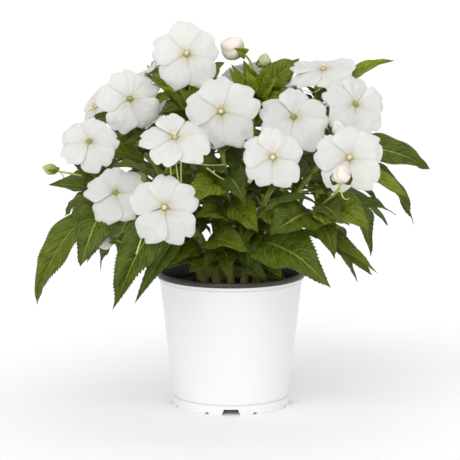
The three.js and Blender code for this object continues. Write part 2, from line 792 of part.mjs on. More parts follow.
function boxesNear(a, b) {
  const [p, q] = [a.boundingBox(), b.boundingBox()];
  return [0, 1, 2].every((i) => p.min[i] - CLEAR <= q.max[i] && q.min[i] - CLEAR <= p.max[i]);
}

function clearOf(solid, others) {
  return others.every((o) => !boxesNear(solid, o) || solid.minGap(o, CLEAR) >= CLEAR);
}

// Two solids cross where they share room that isn't close round the root they both grow from.
function crosses(solid, others, root) {
  return others.some((o) => {
    if (!boxesNear(solid, o)) return false;
    const common = solid.intersect(o);
    if (common.volume() < 0.5) return false;
    const box = common.boundingBox();
    const far = root.map((at, i) => Math.max(Math.abs(box.min[i] - at), Math.abs(box.max[i] - at)));
    return Math.hypot(...far) > ROOT_REACH;
  });
}

for (const stem of STEMS) stem.path = stemPath(stem);
const pot = makePot();
const soil = makeSoil(STEMS);
const byName = new Map(STEMS.map((stem) => [stem.name, stem]));

for (const stem of STEMS) {
  const radii = stem.path.map((_, i) => stem.radius * mix(1, STEM.topShare, i / (stem.path.length - 1)));
  stem.parts = [tube(stem.path, radii, STEM.sides)];
  stem.leafSolids = [];
}
const heads = [...BLOOMS, ...BUDS];
for (const head of heads) head.solid = head.length ? budSolid(head) : bloomSolid(head);
heads.forEach((head, i) => {
  for (const other of heads.slice(i + 1)) {
    if (!clearOf(head.solid, [other.solid])) throw new Error(`${head.name} meets ${other.name}`);
  }
});

for (const head of heads) {
  const stem = byName.get(head.stem);
  const others = [
    ...heads.filter((h) => h !== head).map((h) => h.solid),
    ...STEMS.filter((s) => s !== stem).flatMap((s) => s.parts),
  ];
  const { normal } = headFrame(head);
  const radii = [];
  for (let k = 0; k <= STALK.steps; k++) radii.push(mix(STALK.root, STALK.end, k / STALK.steps));
  const stalk = BENDS.map((bend) => tube(stalkPath(stem, head, bend), radii, STALK.sides, normal)).find(
    (t) => clearOf(t, others) && t.minGap(head.solid, 1) > STALK.seatGap / 2,
  );
  if (!stalk) throw new Error(`no clear stalk for ${head.name}`);
  stem.parts.push(stalk);
}

// A leaf goes to the first of its places that is clear of all other pieces and of its own stem's
// other leaves.
function growLeaf(stem, t, tip, width, facing, arch) {
  const root = stemPoint(stem, t);
  const chord = tip.clone().sub(root);
  const along = chord.clone().normalize();
  const side = along.clone().cross(facing).normalize();
  const rise = side.clone().cross(along);
  const others = [
    pot,
    soil,
    ...heads.map((h) => h.solid),
    ...STEMS.filter((s) => s !== stem).flatMap((s) => [...s.parts, ...s.leafSolids]),
  ];
  const own = [...stem.leafSolids, ...stem.parts.slice(1)];
  for (const share of SHORTER) {
    for (const [sideways, upward] of SWINGS) {
      const aim = along
        .clone()
        .addScaledVector(side, Math.tan(radians(sideways)))
        .addScaledVector(rise, Math.tan(radians(upward)))
        .setLength(chord.length() * share);
      const leaf = leafSolid(root, root.clone().add(aim), width * Math.sqrt(share), facing, arch);
      if (!clearOf(leaf, others) || crosses(leaf, own, root.toArray())) continue;
      stem.leafSolids.push(leaf);
      return;
    }
  }
  console.warn(`no room for a leaf on ${stem.name} at ${t}`);
}

for (const stem of STEMS) {
  for (const [t, x, y, z, width, lean, azimuth, arch] of stem.leaves) {
    const tip = vector(x, y, z);
    growLeaf(stem, t, tip, width, facingOf(tip, lean, azimuth), arch);
  }
}
for (const stem of STEMS) {
  stem.whorls.forEach(([t, count, first, elevation, length, width], w) => {
    for (let k = 0; k < count; k++) {
      const luck = chance(w * 31 + k * 7 + stem.foot[0] * 3 + stem.foot[1]);
      const az = radians(first + (360 * k) / count + WHORL.azimuthSpread * (luck - 0.5));
      const el = radians(elevation + WHORL.elevationSpread * (luck - 0.5));
      const size = length * (1 + WHORL.lengthSpread * (luck - 0.5));
      const aim = vector(Math.cos(az) * Math.cos(el), Math.sin(az) * Math.cos(el), Math.sin(el));
      const tip = stemPoint(stem, t).addScaledVector(aim, size);
      growLeaf(stem, t, tip, width, facingOf(tip, WHORL.lean), LEAF.arch);
    }
  });
}

const plant = new THREE.Group();
plant.add(piece('pot', pot, COLOURS.pot));
plant.add(piece('soil', soil, COLOURS.soil));
for (const stem of STEMS) {
  plant.add(piece('leafy_stem_' + stem.name, union([...stem.parts, ...stem.leafSolids]), COLOURS.green));
}
for (const bloom of BLOOMS) plant.add(piece('bloom_' + bloom.name, bloom.solid, COLOURS.petal));
for (const bud of BUDS) plant.add(piece('bud_' + bud.name, bud.solid, COLOURS.bud));

export default plant;
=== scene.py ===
# %% [markdown]
# # A New Guinea impatiens in its nursery pot
#
# The plant is a small bush of fleshy stems with dark, toothed leaves and flat white flowers.
# It stands in a round plastic nursery pot, white outside and dark inside.
# The measured solids come from the CAD model, and every finished piece here follows them.
# Lengths are written in millimetres, as a gardener would give them, and `MM` turns them into metres.

# %% Load the measured model
import json
import math

import bmesh
import bpy
import numpy as np
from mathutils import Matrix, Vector

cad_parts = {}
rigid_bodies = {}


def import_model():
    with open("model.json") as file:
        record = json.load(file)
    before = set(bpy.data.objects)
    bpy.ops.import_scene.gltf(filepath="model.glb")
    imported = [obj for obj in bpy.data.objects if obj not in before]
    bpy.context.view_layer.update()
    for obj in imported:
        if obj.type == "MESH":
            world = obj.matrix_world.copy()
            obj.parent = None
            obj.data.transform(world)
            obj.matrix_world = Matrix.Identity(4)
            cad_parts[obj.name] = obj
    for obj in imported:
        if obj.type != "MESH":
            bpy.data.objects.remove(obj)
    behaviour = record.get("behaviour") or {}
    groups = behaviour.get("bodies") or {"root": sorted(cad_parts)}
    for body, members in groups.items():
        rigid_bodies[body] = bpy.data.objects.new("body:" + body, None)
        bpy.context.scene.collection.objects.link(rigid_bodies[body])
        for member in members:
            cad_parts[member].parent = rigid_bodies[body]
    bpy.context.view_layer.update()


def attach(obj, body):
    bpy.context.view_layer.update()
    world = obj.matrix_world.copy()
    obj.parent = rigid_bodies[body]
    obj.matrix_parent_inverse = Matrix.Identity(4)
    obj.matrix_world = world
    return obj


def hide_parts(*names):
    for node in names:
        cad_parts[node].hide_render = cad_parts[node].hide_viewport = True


MM = 0.001
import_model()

# %% [markdown]
# ## Camera
#
# The photo is taken with a long lens from 2.5 m in front and a little above.
# A long lens keeps the pot's sides nearly parallel, as in a catalogue picture.
# The place and the tilt were found from the ellipses of the pot's rim and foot.
# Blender gives a lens in millimetres for a 36 mm sensor, so the focal length in pixels is scaled
# by 36 over the picture's 460 pixels.

# %% Stand the camera in front of the pot
PICTURE_SIDE = 460
FOCAL_PIXELS = 2724.88
SENSOR = 36.0
CAMERA_AT = (-0.9, -2525.8, 575.06)
CAMERA_TILT = 0.160731

camera_data = bpy.data.cameras.new("camera")
camera_data.sensor_width = SENSOR
camera_data.lens = FOCAL_PIXELS * SENSOR / PICTURE_SIDE
camera_data.clip_end = 100
camera = bpy.data.objects.new("camera", camera_data)
camera.location = Vector(CAMERA_AT) * MM
camera.rotation_euler = (math.pi / 2 - CAMERA_TILT, 0, 0)
bpy.context.scene.collection.objects.link(camera)
bpy.context.scene.camera = camera
print("lens", round(camera_data.lens, 1), "mm")

# %% [markdown]
# ## Writing node trees as formulas
#
# A node tree can be wired socket by socket, but a long formula gets hard to read that way.
# `Wire` wraps an output socket, so that `root + along * length` makes the Math nodes by itself.
# It works in geometry trees and in material trees, because both have the same Math nodes.

# %% A socket that can be added and multiplied
def put(tree, kind, inputs=None, **settings):
    """Adds a node. An input is a Wire, which is linked, or a plain value."""
    made = tree.nodes.new(kind)
    for key, value in settings.items():
        setattr(made, key, value)
    for key, value in (inputs or {}).items():
        if isinstance(value, Wire):
            tree.links.new(value.socket, made.inputs[key])
        else:
            made.inputs[key].default_value = value
    return made


class Wire:
    """An output socket with the signs of arithmetic."""

    def __init__(self, tree, socket):
        self.tree = tree
        self.socket = socket

    @property
    def is_vector(self):
        return self.socket.type in ("VECTOR", "RGBA")

    def calc(self, operation, *others, first=None):
        """Adds the Math or Vector Math node that the values need. `first` goes before this wire."""
        values = ([] if first is None else [first]) + [self, *others]
        vectors = [v for v in values if isinstance(v, Wire) and v.is_vector or isinstance(v, tuple)]
        if not vectors:
            made = put(self.tree, "ShaderNodeMath", dict(enumerate(values)), operation=operation)
        elif operation == "MULTIPLY" and len(vectors) == 1:
            scale = next(v for v in values if v is not vectors[0])
            inputs = {0: vectors[0], "Scale": scale}
            made = put(self.tree, "ShaderNodeVectorMath", inputs, operation="SCALE")
        else:
            made = put(self.tree, "ShaderNodeVectorMath", dict(enumerate(values)), operation=operation)
        return Wire(self.tree, next(o for o in made.outputs if o.enabled))

    def __add__(self, other):
        return self.calc("ADD", other)

    def __sub__(self, other):
        return self.calc("SUBTRACT", other)

    def __mul__(self, other):
        return self.calc("MULTIPLY", other)

    def __rsub__(self, other):
        return self.calc("SUBTRACT", first=other)

    def __truediv__(self, other):
        return self.calc("DIVIDE", other)

    def __pow__(self, other):
        return self.calc("POWER", other)


def part_of(wire, axis):
    """The x, y or z of a vector."""
    made = put(wire.tree, "ShaderNodeSeparateXYZ", {0: wire})
    return Wire(wire.tree, made.outputs["xyz".index(axis)])


def smooth(wire, low, high):
    """Goes gently from 0 to 1 while the wire goes from low to high."""
    made = put(
        wire.tree,
        "ShaderNodeMapRange",
        {"Value": wire, "From Min": low, "From Max": high},
        interpolation_type="SMOOTHSTEP",
    )
    return Wire(wire.tree, made.outputs[0])


print("signs that a wire knows: + - * / **")

# %% [markdown]
# ## Geometry trees with named sizes
#
# A geometry tree is a small machine: geometry goes in, and its named inputs set the sizes.
# The tree runs in a modifier, and the result is then kept as a plain mesh.
# The inputs are set by their identifiers, since two sockets may share a name.

# %% Make a tree
def geometry_tree(name, **inputs):
    """A new tree, its input wires by name, and its output node."""
    tree = bpy.data.node_groups.new(name, "GeometryNodeTree")
    tree.interface.new_socket("Geometry", in_out="INPUT", socket_type="NodeSocketGeometry")
    tree.interface.new_socket("Geometry", in_out="OUTPUT", socket_type="NodeSocketGeometry")
    for label, kind in inputs.items():
        tree.interface.new_socket(label, in_out="INPUT", socket_type="NodeSocket" + kind)
    entry = tree.nodes.new("NodeGroupInput")
    wires = {s.name: Wire(tree, s) for s in entry.outputs if s.name}
    return tree, wires, tree.nodes.new("NodeGroupOutput")


def finish_tree(tree, wire, material, result):
    """Ends a tree: real faces instead of instances, smooth, in its material."""
    real = put(tree, "GeometryNodeRealizeInstances", {"Geometry": wire})
    soft = put(tree, "GeometryNodeSetShadeSmooth", {"Geometry": Wire(tree, real.outputs[0])})
    painted = put(
        tree, "GeometryNodeSetMaterial", {"Geometry": Wire(tree, soft.outputs[0]), "Material": material}
    )
    tree.links.new(painted.outputs[0], result.inputs[0])


# %% Run a tree once, and keep the result as a plain mesh
def show(name, mesh):
    """Puts a mesh in the scene as an object."""
    made = bpy.data.objects.new(name, mesh)
    bpy.context.scene.collection.objects.link(made)
    return made


def plain_mesh(source):
    """The source as its modifiers leave it, as a mesh with no modifiers."""
    graph = bpy.context.evaluated_depsgraph_get()
    return bpy.data.meshes.new_from_object(
        source.evaluated_get(graph), preserve_all_data_layers=True, depsgraph=graph
    )


def run_tree(name, source, tree, **values):
    """Runs a tree on the source once, and returns the result as a new plain object."""
    modifier = source.modifiers.new(name, "NODES")
    modifier.node_group = tree
    for item in tree.interface.items_tree:
        if item.in_out == "INPUT" and item.name in values:
            modifier[item.identifier] = values[item.name]
    mesh = plain_mesh(source)
    source.modifiers.remove(modifier)
    return show(name, mesh)


def named(tree, name, kind="FLOAT"):
    """A wire with an attribute of the geometry."""
    made = put(tree, "GeometryNodeInputNamedAttribute", {"Name": name}, data_type=kind)
    return Wire(tree, made.outputs[0])


def joined(name, parts):
    """Several objects made into one mesh, with their materials kept."""
    with bpy.context.temp_override(active_object=parts[0], selected_editable_objects=parts):
        bpy.ops.object.join()
    parts[0].name = name
    parts[0].data.name = name
    return parts[0]


def carry(mesh, label, values, kind="FLOAT"):
    """Lets each point of a mesh carry a number, or a vector, under a label."""
    layer = mesh.attributes.new(label, kind, "POINT")
    layer.data.foreach_set("vector" if kind == "FLOAT_VECTOR" else "value", values)


def faces_named(start):
    """How many faces the pieces have whose names start like this."""
    return sum(len(o.data.polygons) for o in bpy.data.objects if o.name.startswith(start))


# %% [markdown]
# ## Finishes as node materials
#
# Each finish starts from the Principled shader, whose fixed values are set on its own sockets.
# Colour, roughness and bump then vary with noise, read from the object's own coordinates or from
# a value that the geometry carries, so the pattern stays put when the camera moves.

# %% Helpers for finishes
def new_finish(name, **fixed):
    """A new material, its node tree and its Principled shader, with the fixed sockets set."""
    material = bpy.data.materials.new(name)
    material.use_nodes = True
    tree = material.node_tree
    shader = tree.nodes["Principled BSDF"]
    for label, value in fixed.items():
        shader.inputs[label.replace("_", " ")].default_value = value
    return material, tree, shader


def object_place(tree):
    """The object's own coordinates, in metres."""
    return Wire(tree, put(tree, "ShaderNodeTexCoord").outputs["Object"])


def carried(tree, name):
    """A value that the geometry carries, read in a material."""
    return Wire(tree, put(tree, "ShaderNodeAttribute", attribute_name=name).outputs["Fac"])


def leaf_map(tree):
    """The sheet's own map: across in u and along in v."""
    return Wire(tree, put(tree, "ShaderNodeUVMap", uv_map="UVMap").outputs[0])


def noise(place, scale, detail=3.0, roughness=0.5):
    """Cloudy noise from 0 to 1. A higher scale makes it finer."""
    made = put(
        place.tree,
        "ShaderNodeTexNoise",
        {"Vector": place, "Scale": scale, "Detail": detail, "Roughness": roughness},
    )
    return Wire(place.tree, made.outputs[0])


def mix_colour(share, first, second):
    """The first colour where share is 0, the second where it is 1."""
    made = put(share.tree, "ShaderNodeMix", {0: share, 6: first, 7: second}, data_type="RGBA")
    return Wire(share.tree, made.outputs[2])


def rgb(*levels):
    """A colour from its red, green and blue light, not from screen values."""
    return (*levels, 1.0)


# %% Helpers that finish a shader
def dress(shader, **wires):
    """Links wires to the shader's sockets."""
    for label, wire in wires.items():
        wire.tree.links.new(wire.socket, shader.inputs[label.replace("_", " ")])


def let_light_through(material, shader, share, colour):
    """Mixes in a little light that passes through a thin sheet. Share and colour are fixed."""
    tree = material.node_tree
    thin = put(tree, "ShaderNodeBsdfTranslucent", {"Color": colour})
    both = put(tree, "ShaderNodeMixShader", {0: share})
    tree.links.new(shader.outputs[0], both.inputs[1])
    tree.links.new(thin.outputs[0], both.inputs[2])
    tree.links.new(both.outputs[0], tree.nodes["Material Output"].inputs[0])


def bump(height, strength, depth_mm):
    """A normal that leans as if the surface had this height, up to depth_mm deep."""
    made = put(
        height.tree,
        "ShaderNodeBump",
        {"Height": height, "Strength": strength, "Distance": depth_mm * MM},
    )
    return Wire(height.tree, made.outputs[0])


print("helpers for finishes are ready")

# %% [markdown]
# ## The pot's two plastics
#
# The pot is moulded from two colours of polypropylene: white outside, black inside and on the rim.
# Thin plastic has a soft gloss, a faint waviness from the mould, and a few dull scuffs.
# Roughness carries the scuffs, since wear on plastic shows in its gloss before its colour. Painted
# shade greys the crease above the foot and the one under the rim.

# %% White plastic, with painted shade in its creases
CREASE_SHADE_AT = (0.0091, 0.1189)  # metres above the table
CREASE_SHADE_REACH = 0.0011
CREASE_SHADE_CORE = 0.0003
white_plastic, tree, shader = new_finish(
    "white_plastic", Specular_IOR_Level=0.45, Subsurface_Weight=0.08, Subsurface_Scale=0.002
)
place = object_place(tree)
cloud = noise(place, 14.0, detail=4.0)
scuff = smooth(noise(place, 190.0, detail=5.0, roughness=0.7), 0.56, 0.74)
height = part_of(place, "z")
# Painted shade: a soft grey band darkens the white along each crease.
creases = [smooth((height - level).calc("ABSOLUTE"), CREASE_SHADE_REACH, CREASE_SHADE_CORE) for level in CREASE_SHADE_AT]
painted_crease_shade = creases[0].calc("MAXIMUM", creases[1])
white = mix_colour(cloud, rgb(0.80, 0.81, 0.815), rgb(0.85, 0.855, 0.86))
dress(
    shader,
    Base_Color=mix_colour(painted_crease_shade * 0.45, white, rgb(0.50, 0.50, 0.50)),
    Roughness=scuff * 0.2 + cloud * 0.1 + 0.3,
    Normal=bump(cloud + scuff * 0.05, 0.25, 0.4),
)
print("white plastic:", len(tree.nodes), "nodes")

# %% Black plastic
black_plastic, tree, shader = new_finish("black_plastic", Specular_IOR_Level=0.5)
place = object_place(tree)
grain = noise(place, 260.0, detail=4.0, roughness=0.65)
dress(
    shader,
    Base_Color=mix_colour(grain, rgb(0.018, 0.016, 0.015), rgb(0.05, 0.045, 0.042)),
    Roughness=grain * 0.25 + 0.3,
    Normal=bump(grain, 0.2, 0.15),
)
print("black plastic:", len(tree.nodes), "nodes")

# %% [markdown]
# ## Turned and lofted shapes
#
# A pot, a bud and the heart of a flower are all rings of points joined by faces.
# Blender's Screw modifier can turn a profile too, but building the rings by hand lets each band of
# faces carry its own material and lets the rings be waved.

# %% Rings of points joined into a closed skin
TOUCHING = 1e-7  # metres between points that are taken as one
NO_LENGTH = 1e-8


def skin_of_rings(name, rings, materials, bands=None):
    """A closed mesh through rings of equal count. A ring whose points meet becomes one pole."""
    builder = bmesh.new()
    rows = [[builder.verts.new(p) for p in ring] for ring in rings]
    count = len(rings[0])
    for i, (low, high) in enumerate(zip(rows, rows[1:])):
        for k in range(count):
            after = (k + 1) % count
            face = builder.faces.new((low[k], low[after], high[after], high[k]))
            face.smooth = True
            face.material_index = bands[i] if bands else 0
    for row, turn in ((rows[0], -1), (rows[-1], 1)):
        if (row[0].co - row[count // 2].co).length > TOUCHING:
            builder.faces.new(row[::turn]).smooth = True
    bmesh.ops.remove_doubles(builder, verts=builder.verts, dist=TOUCHING)
    bmesh.ops.dissolve_degenerate(builder, edges=builder.edges, dist=NO_LENGTH)
    bmesh.ops.recalc_face_normals(builder, faces=builder.faces)
    mesh = bpy.data.meshes.new(name)
    builder.to_mesh(mesh)
    builder.free()
    for material in materials:
        mesh.materials.append(material)
    return show(name, mesh)


def ring(radius, z, sides):
    """A level ring round the pot's axis. Sizes are in millimetres."""
    turn = np.arange(sides) * 2 * np.pi / sides
    return [(radius * MM * math.cos(a), radius * MM * math.sin(a), z * MM) for a in turn]


print("a ring of 4:", np.round(ring(1, 0, 4), 4).tolist())

# %% [markdown]
# ## The pot
#
# The wall is one line of points from the foot, up the outside, over the rolled rim and down inside.
# Turned round the axis it makes the whole shell at once, with an even wall.
# The foot ring has a wide notch on four sides, which lets water out from under the pot, and small
# nicks beside it. One Boolean modifier cuts them and the drain holes, as a mould's inserts would
# leave them. The wall's front is smooth, plain plastic.

# %% The pot's profile, outside then inside
POT_SIDES = 128
outside = [
    (0, 6.5), (40, 6.5), (51.6, 6.5), (52.2, 5.6), (52.6, 0.4), (52.9, 0), (54.8, 0),
    (55.2, 0.4), (55.4, 7.4), (55.2, 8.1), (54.3, 8.45), (54.05, 9.2), (57.6, 39), (61.3, 70),
    (65.1, 103), (66.95, 118.7), (67.2, 119.1), (68.1, 119.4), (68.4, 119.8), (68.45, 122.2),
]
rim = [
    (68.9, 122.45), (69.6, 122.7), (69.95, 123.3), (70.0, 124.6), (69.9, 125.8), (69.4, 126.7),
    (68.6, 127), (67.2, 127), (66.3, 126.5), (65.8, 125.4),
]
inside = [(64.2, 112), (60.2, 76), (56.4, 43), (52.7, 9.6), (52.0, 8.5), (26, 8.5), (0, 8.5)]
profile = outside + rim + inside
bands = [0] * (len(outside) - 1) + [1] * (len(rim) + len(inside))
pot_rings = [ring(r, z, POT_SIDES) for r, z in profile]
pot = skin_of_rings("nursery_pot", pot_rings, [white_plastic, black_plastic], bands)
print("pot faces before cutting:", len(pot.data.polygons))


# %% Blocks for the notches and the nicks
NOTCH = [(-9, -1), (9, -1), (6.5, 5.4), (-6.5, 5.4)]
NICK = [(-1.7, -1), (1.7, -1), (1.7, 1.8), (-1.7, 1.8)]
NICK_SWING = 24
FOOT_RADIUS = 55.2
CUT_START = 5
CUT_DEPTH = 12


def prism(outline, depth):
    """A block with an outline in x and z, running from -depth to 0 in y. Millimetres."""
    flat = [(x * MM, z * MM) for x, z in outline]
    return [[(x, y * MM, z) for x, z in flat] for y in (0, -depth)]


def turned_about_axis(points, degrees):
    """Points turned about the pot's axis."""
    a = math.radians(degrees)
    return [
        (x * math.cos(a) - y * math.sin(a), x * math.sin(a) + y * math.cos(a), z) for x, y, z in points
    ]


cutters = []
for quarter in range(4):
    for outline, swing in ((NOTCH, 0), (NICK, -NICK_SWING), (NICK, NICK_SWING)):
        block = prism(outline, CUT_DEPTH)
        block = [[(x, y - (FOOT_RADIUS - CUT_START) * MM, z) for x, y, z in loop] for loop in block]
        block = [turned_about_axis(loop, 90 * quarter + swing) for loop in block]
        cutters.append(skin_of_rings("notch", block, [white_plastic]))
print("notches and nicks:", len(cutters))

# %% Plugs for the drain holes
DRAIN_HOLES = 6
DRAIN_RADIUS = 4
DRAIN_FROM_AXIS = 38
DRAIN_SIDES = 16
DRAIN_ENDS = (3.5, 13.5)  # below and above the pot's floor
for k in range(DRAIN_HOLES):
    a = math.radians(360 / DRAIN_HOLES * k + 30)
    x_at, y_at = DRAIN_FROM_AXIS * MM * math.cos(a), DRAIN_FROM_AXIS * MM * math.sin(a)
    ends = [ring(DRAIN_RADIUS, z, DRAIN_SIDES) for z in DRAIN_ENDS]
    ends = [[(x + x_at, y + y_at, z) for x, y, z in end] for end in ends]
    cutters.append(skin_of_rings("drain", ends, [black_plastic]))
print("drain holes:", DRAIN_HOLES)

# %% Cut them all out of the pot
SHARP_FROM = 35  # degrees between faces that keep their edge
tool = joined("cutting_tool", cutters)
cut = pot.modifiers.new("cut", "BOOLEAN")
cut.operation = "DIFFERENCE"
cut.object = tool
cut.solver = "EXACT"
mesh = plain_mesh(pot)
pot.modifiers.remove(cut)
pot.data = mesh
bpy.data.objects.remove(tool)
pot.data.set_sharp_from_angle(angle=math.radians(SHARP_FROM))
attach(pot, "root")
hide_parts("pot")
print("pot faces:", len(pot.data.polygons))

# %% [markdown]
# ## The soil
#
# Potting mix is dark, broken peat and bark with a few pale grains.
# The body of it is one lumpy closed cake. Loose crumbs are scattered on top with Geometry Nodes,
# because a thousand crumbs of one shape, turned and scaled at random, look like loose soil while a
# displaced surface alone looks like clay.

# %% Soil and crumb finishes
soil_finish, tree, shader = new_finish("potting_mix", Specular_IOR_Level=0.25)
place = object_place(tree)
clods = noise(place, 160.0, detail=6.0, roughness=0.65)
fibre = noise(place, 520.0, detail=4.0, roughness=0.6)
brown = mix_colour(smooth(clods, 0.35, 0.65), rgb(0.012, 0.008, 0.006), rgb(0.085, 0.048, 0.028))
dress(
    shader,
    Base_Color=mix_colour(smooth(fibre, 0.62, 0.75), brown, rgb(0.20, 0.13, 0.075)),
    Roughness=fibre * 0.2 + 0.75,
    Normal=bump(clods + fibre * 0.5, 0.9, 1.2),
)
print("potting mix:", len(tree.nodes), "nodes")

grain_finish, tree, shader = new_finish("pale_grains", Specular_IOR_Level=0.3)
place = object_place(tree)
grain = noise(place, 400.0, detail=4.0)
dress(
    shader,
    Base_Color=mix_colour(grain, rgb(0.20, 0.12, 0.06), rgb(0.50, 0.38, 0.24)),
    Roughness=grain * 0.2 + 0.7,
    Normal=bump(grain, 0.6, 0.4),
)
print("pale grains:", len(tree.nodes), "nodes")


# %% How high and how wide the soil is
SOIL_EDGE = 113.0
SOIL_CROWN = 119.0
SOIL_RADIUS = 65.5
SOIL_BOTTOM = 8.8
POT_FLOOR = 8.5
WALL_TOP = 125.6
WALL_FOOT_RADIUS = 52.5
WALL_SPREAD = 13.0
HAIR_GAP = 0.4


def soil_height(r):
    """The height of the soil at a distance from the axis, in millimetres."""
    return SOIL_CROWN + (SOIL_EDGE - SOIL_CROWN) * (r / SOIL_RADIUS) ** 2


def wall_radius(z):
    """The radius of the pot's inner wall at a height, less a hair's gap."""
    share = (z - POT_FLOOR) / (WALL_TOP - POT_FLOOR)
    return WALL_FOOT_RADIUS + WALL_SPREAD * share - HAIR_GAP


print("soil radius at its edge:", round(wall_radius(SOIL_EDGE), 2), "mm")

# %% The cake of soil
SOIL_SIDES = 96
SOIL_RINGS = 22
SHOULDER = 0.6
LUMP_MM = 0.65
GRIT_MM = 0.6
top_radii = np.linspace(wall_radius(SOIL_EDGE) - SHOULDER, 0, SOIL_RINGS)
soil_rings = [ring(r, SOIL_BOTTOM, SOIL_SIDES) for r in (0, wall_radius(SOIL_BOTTOM))]
soil_rings.append(ring(wall_radius(SOIL_EDGE), SOIL_EDGE, SOIL_SIDES))
for r in top_radii:
    level = []
    for x, y, z in ring(r, soil_height(r), SOIL_SIDES):
        lump = math.sin(x * 310 + 1.3) * math.cos(y * 270) + math.sin((x + y) * 130)
        fine = math.sin(x * 1100 + y * 700) * math.cos(y * 1300 - x * 500)
        level.append((x, y, z + (LUMP_MM * lump + GRIT_MM * fine * min(1, r / 20)) * MM))
    soil_rings.append(level)
soil = skin_of_rings("potting_soil", soil_rings, [soil_finish])
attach(soil, "root")
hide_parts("soil")
print("soil top at", round(max(v.co.z for v in soil.data.vertices) / MM, 1), "mm")

# %% A tree that scatters crumbs over the soil
FULL_TURNS = (6.28, 6.28, 6.28)
crumb_tree, size, result = geometry_tree(
    "crumbs on the soil", Crumb="Object", Finish="Material", Density="Float", Small="Float",
    Large="Float", Seed="Int",
)
up = Wire(crumb_tree, put(crumb_tree, "GeometryNodeInputNormal").outputs[0])
height = part_of(Wire(crumb_tree, put(crumb_tree, "GeometryNodeInputPosition").outputs[0]), "z")
on_top = height.calc("GREATER_THAN", (SOIL_EDGE - 0.5) * MM)
faces = put(
    crumb_tree,
    "GeometryNodeDistributePointsOnFaces",
    {"Mesh": size["Geometry"], "Selection": on_top, "Density": size["Density"], "Seed": size["Seed"]},
)
shape = put(crumb_tree, "GeometryNodeObjectInfo", {"Object": size["Crumb"]})
turn = put(
    crumb_tree, "FunctionNodeRandomValue", {0: (0, 0, 0), 1: FULL_TURNS, "Seed": size["Seed"]},
    data_type="FLOAT_VECTOR",
)
spin = put(crumb_tree, "FunctionNodeEulerToRotation", {0: Wire(crumb_tree, turn.outputs[0])})
grow = put(
    crumb_tree, "FunctionNodeRandomValue", {2: size["Small"], 3: size["Large"], "Seed": size["Seed"]},
    data_type="FLOAT",
)
laid = put(
    crumb_tree,
    "GeometryNodeInstanceOnPoints",
    {
        "Points": Wire(crumb_tree, faces.outputs[0]),
        "Instance": Wire(crumb_tree, shape.outputs["Geometry"]),
        "Rotation": Wire(crumb_tree, spin.outputs[0]),
        "Scale": Wire(crumb_tree, grow.outputs[1]),
    },
)
finish_tree(crumb_tree, Wire(crumb_tree, laid.outputs[0]), size["Finish"], result)
print("crumb tree nodes:", len(crumb_tree.nodes))

# %% One rough crumb, about a millimetre in radius
crumb_mesh = bpy.data.meshes.new("crumb")
builder = bmesh.new()
bmesh.ops.create_icosphere(builder, subdivisions=1, radius=MM)
for i, v in enumerate(builder.verts):
    v.co = Vector((v.co.x * 1.25, v.co.y * (0.85 + 0.1 * (i % 3)), v.co.z * (0.6 + 0.12 * (i % 2))))
builder.to_mesh(crumb_mesh)
builder.free()
crumb = show("crumb", crumb_mesh)
print("faces of one crumb:", len(crumb_mesh.polygons))

# %% Scatter dark crumbs and a few pale grains
dark = run_tree(
    "crumbs", soil, crumb_tree, Crumb=crumb, Finish=soil_finish, Density=95000.0, Small=0.35,
    Large=1.5, Seed=4,
)
pale = run_tree(
    "grains", soil, crumb_tree, Crumb=crumb, Finish=grain_finish, Density=9000.0, Small=0.3,
    Large=0.9, Seed=9,
)
crumbs = joined("soil_crumbs", [dark, pale])
bpy.data.objects.remove(crumb)
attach(crumbs, "root")
print("crumb faces:", len(crumbs.data.polygons))

# %% [markdown]
# ## The stems' places
#
# Fourteen stems stand in the soil. Each rises steeply and then leans out to its tip.
# Three points make that curve: the foot, a bend, and the top, as a quadratic Bezier.
# The numbers are the CAD model's own, so that every fine stem grows inside its solid.

# %% Feet, tops and bends of the stems
STEMS = {
    # name: (foot x, y), (top x, y, z), rise of the bend, lean of the bend, radius at the foot
    "front_left": ((-13, -24), (-64, -84, 219), 0.6, 0.25, 4.4),
    "low_left": ((-24, -12), (-116, -52, 206), 0.66, 0.3, 4.4),
    "high_left": ((-28, 1), (-96, -5, 262), 0.55, 0.22, 4.2),
    "top_left": ((-9, -3), (-43, 8, 292), 0.5, 0.22, 4.2),
    "front_middle": ((0, -27), (-8, -60, 247), 0.55, 0.22, 4.4),
    "top_middle": ((5, 6), (25, 12, 289), 0.5, 0.22, 4.0),
    "high_right": ((27, 7), (80, 10, 286), 0.52, 0.22, 4.2),
    "right": ((28, -5), (101, -30, 252), 0.58, 0.22, 4.4),
    "low_right": ((23, -17), (86, -74, 199), 0.66, 0.3, 4.6),
    "middle_right": ((12, -24), (38, -70, 217), 0.58, 0.22, 4.6),
    "back_left": ((-22, 16), (-92, 60, 240), 0.58, 0.22, 4.4),
    "back_middle": ((-7, 27), (-30, 94, 244), 0.6, 0.22, 4.4),
    "back_right": ((10, 27), (44, 92, 248), 0.6, 0.22, 4.4),
    "far_right": ((21, 19), (104, 48, 238), 0.6, 0.22, 4.4),
}


def vec(*xyz):
    return np.array(xyz, float)


def unit(v):
    """The same direction, with a length of 1."""
    return v / np.linalg.norm(v)


def pointing(azimuth, elevation):
    """A direction from its two angles, in radians."""
    level = math.cos(elevation)
    return vec(math.cos(azimuth) * level, math.sin(azimuth) * level, math.sin(elevation))


def stem_point(name, t):
    """A point of the stem's middle line, from the soil (0) to the tip (1), in millimetres."""
    (fx, fy), top, rise, lean, _ = STEMS[name]
    foot = vec(fx, fy, soil_height(math.hypot(fx, fy)))
    top = vec(*top)
    bend = foot + (top - foot) * vec(lean, lean, rise)
    return foot * (1 - t) ** 2 + bend * 2 * t * (1 - t) + top * t * t


print(len(STEMS), "stems, tallest tip", max(top[2] for _, top, *_ in STEMS.values()), "mm")

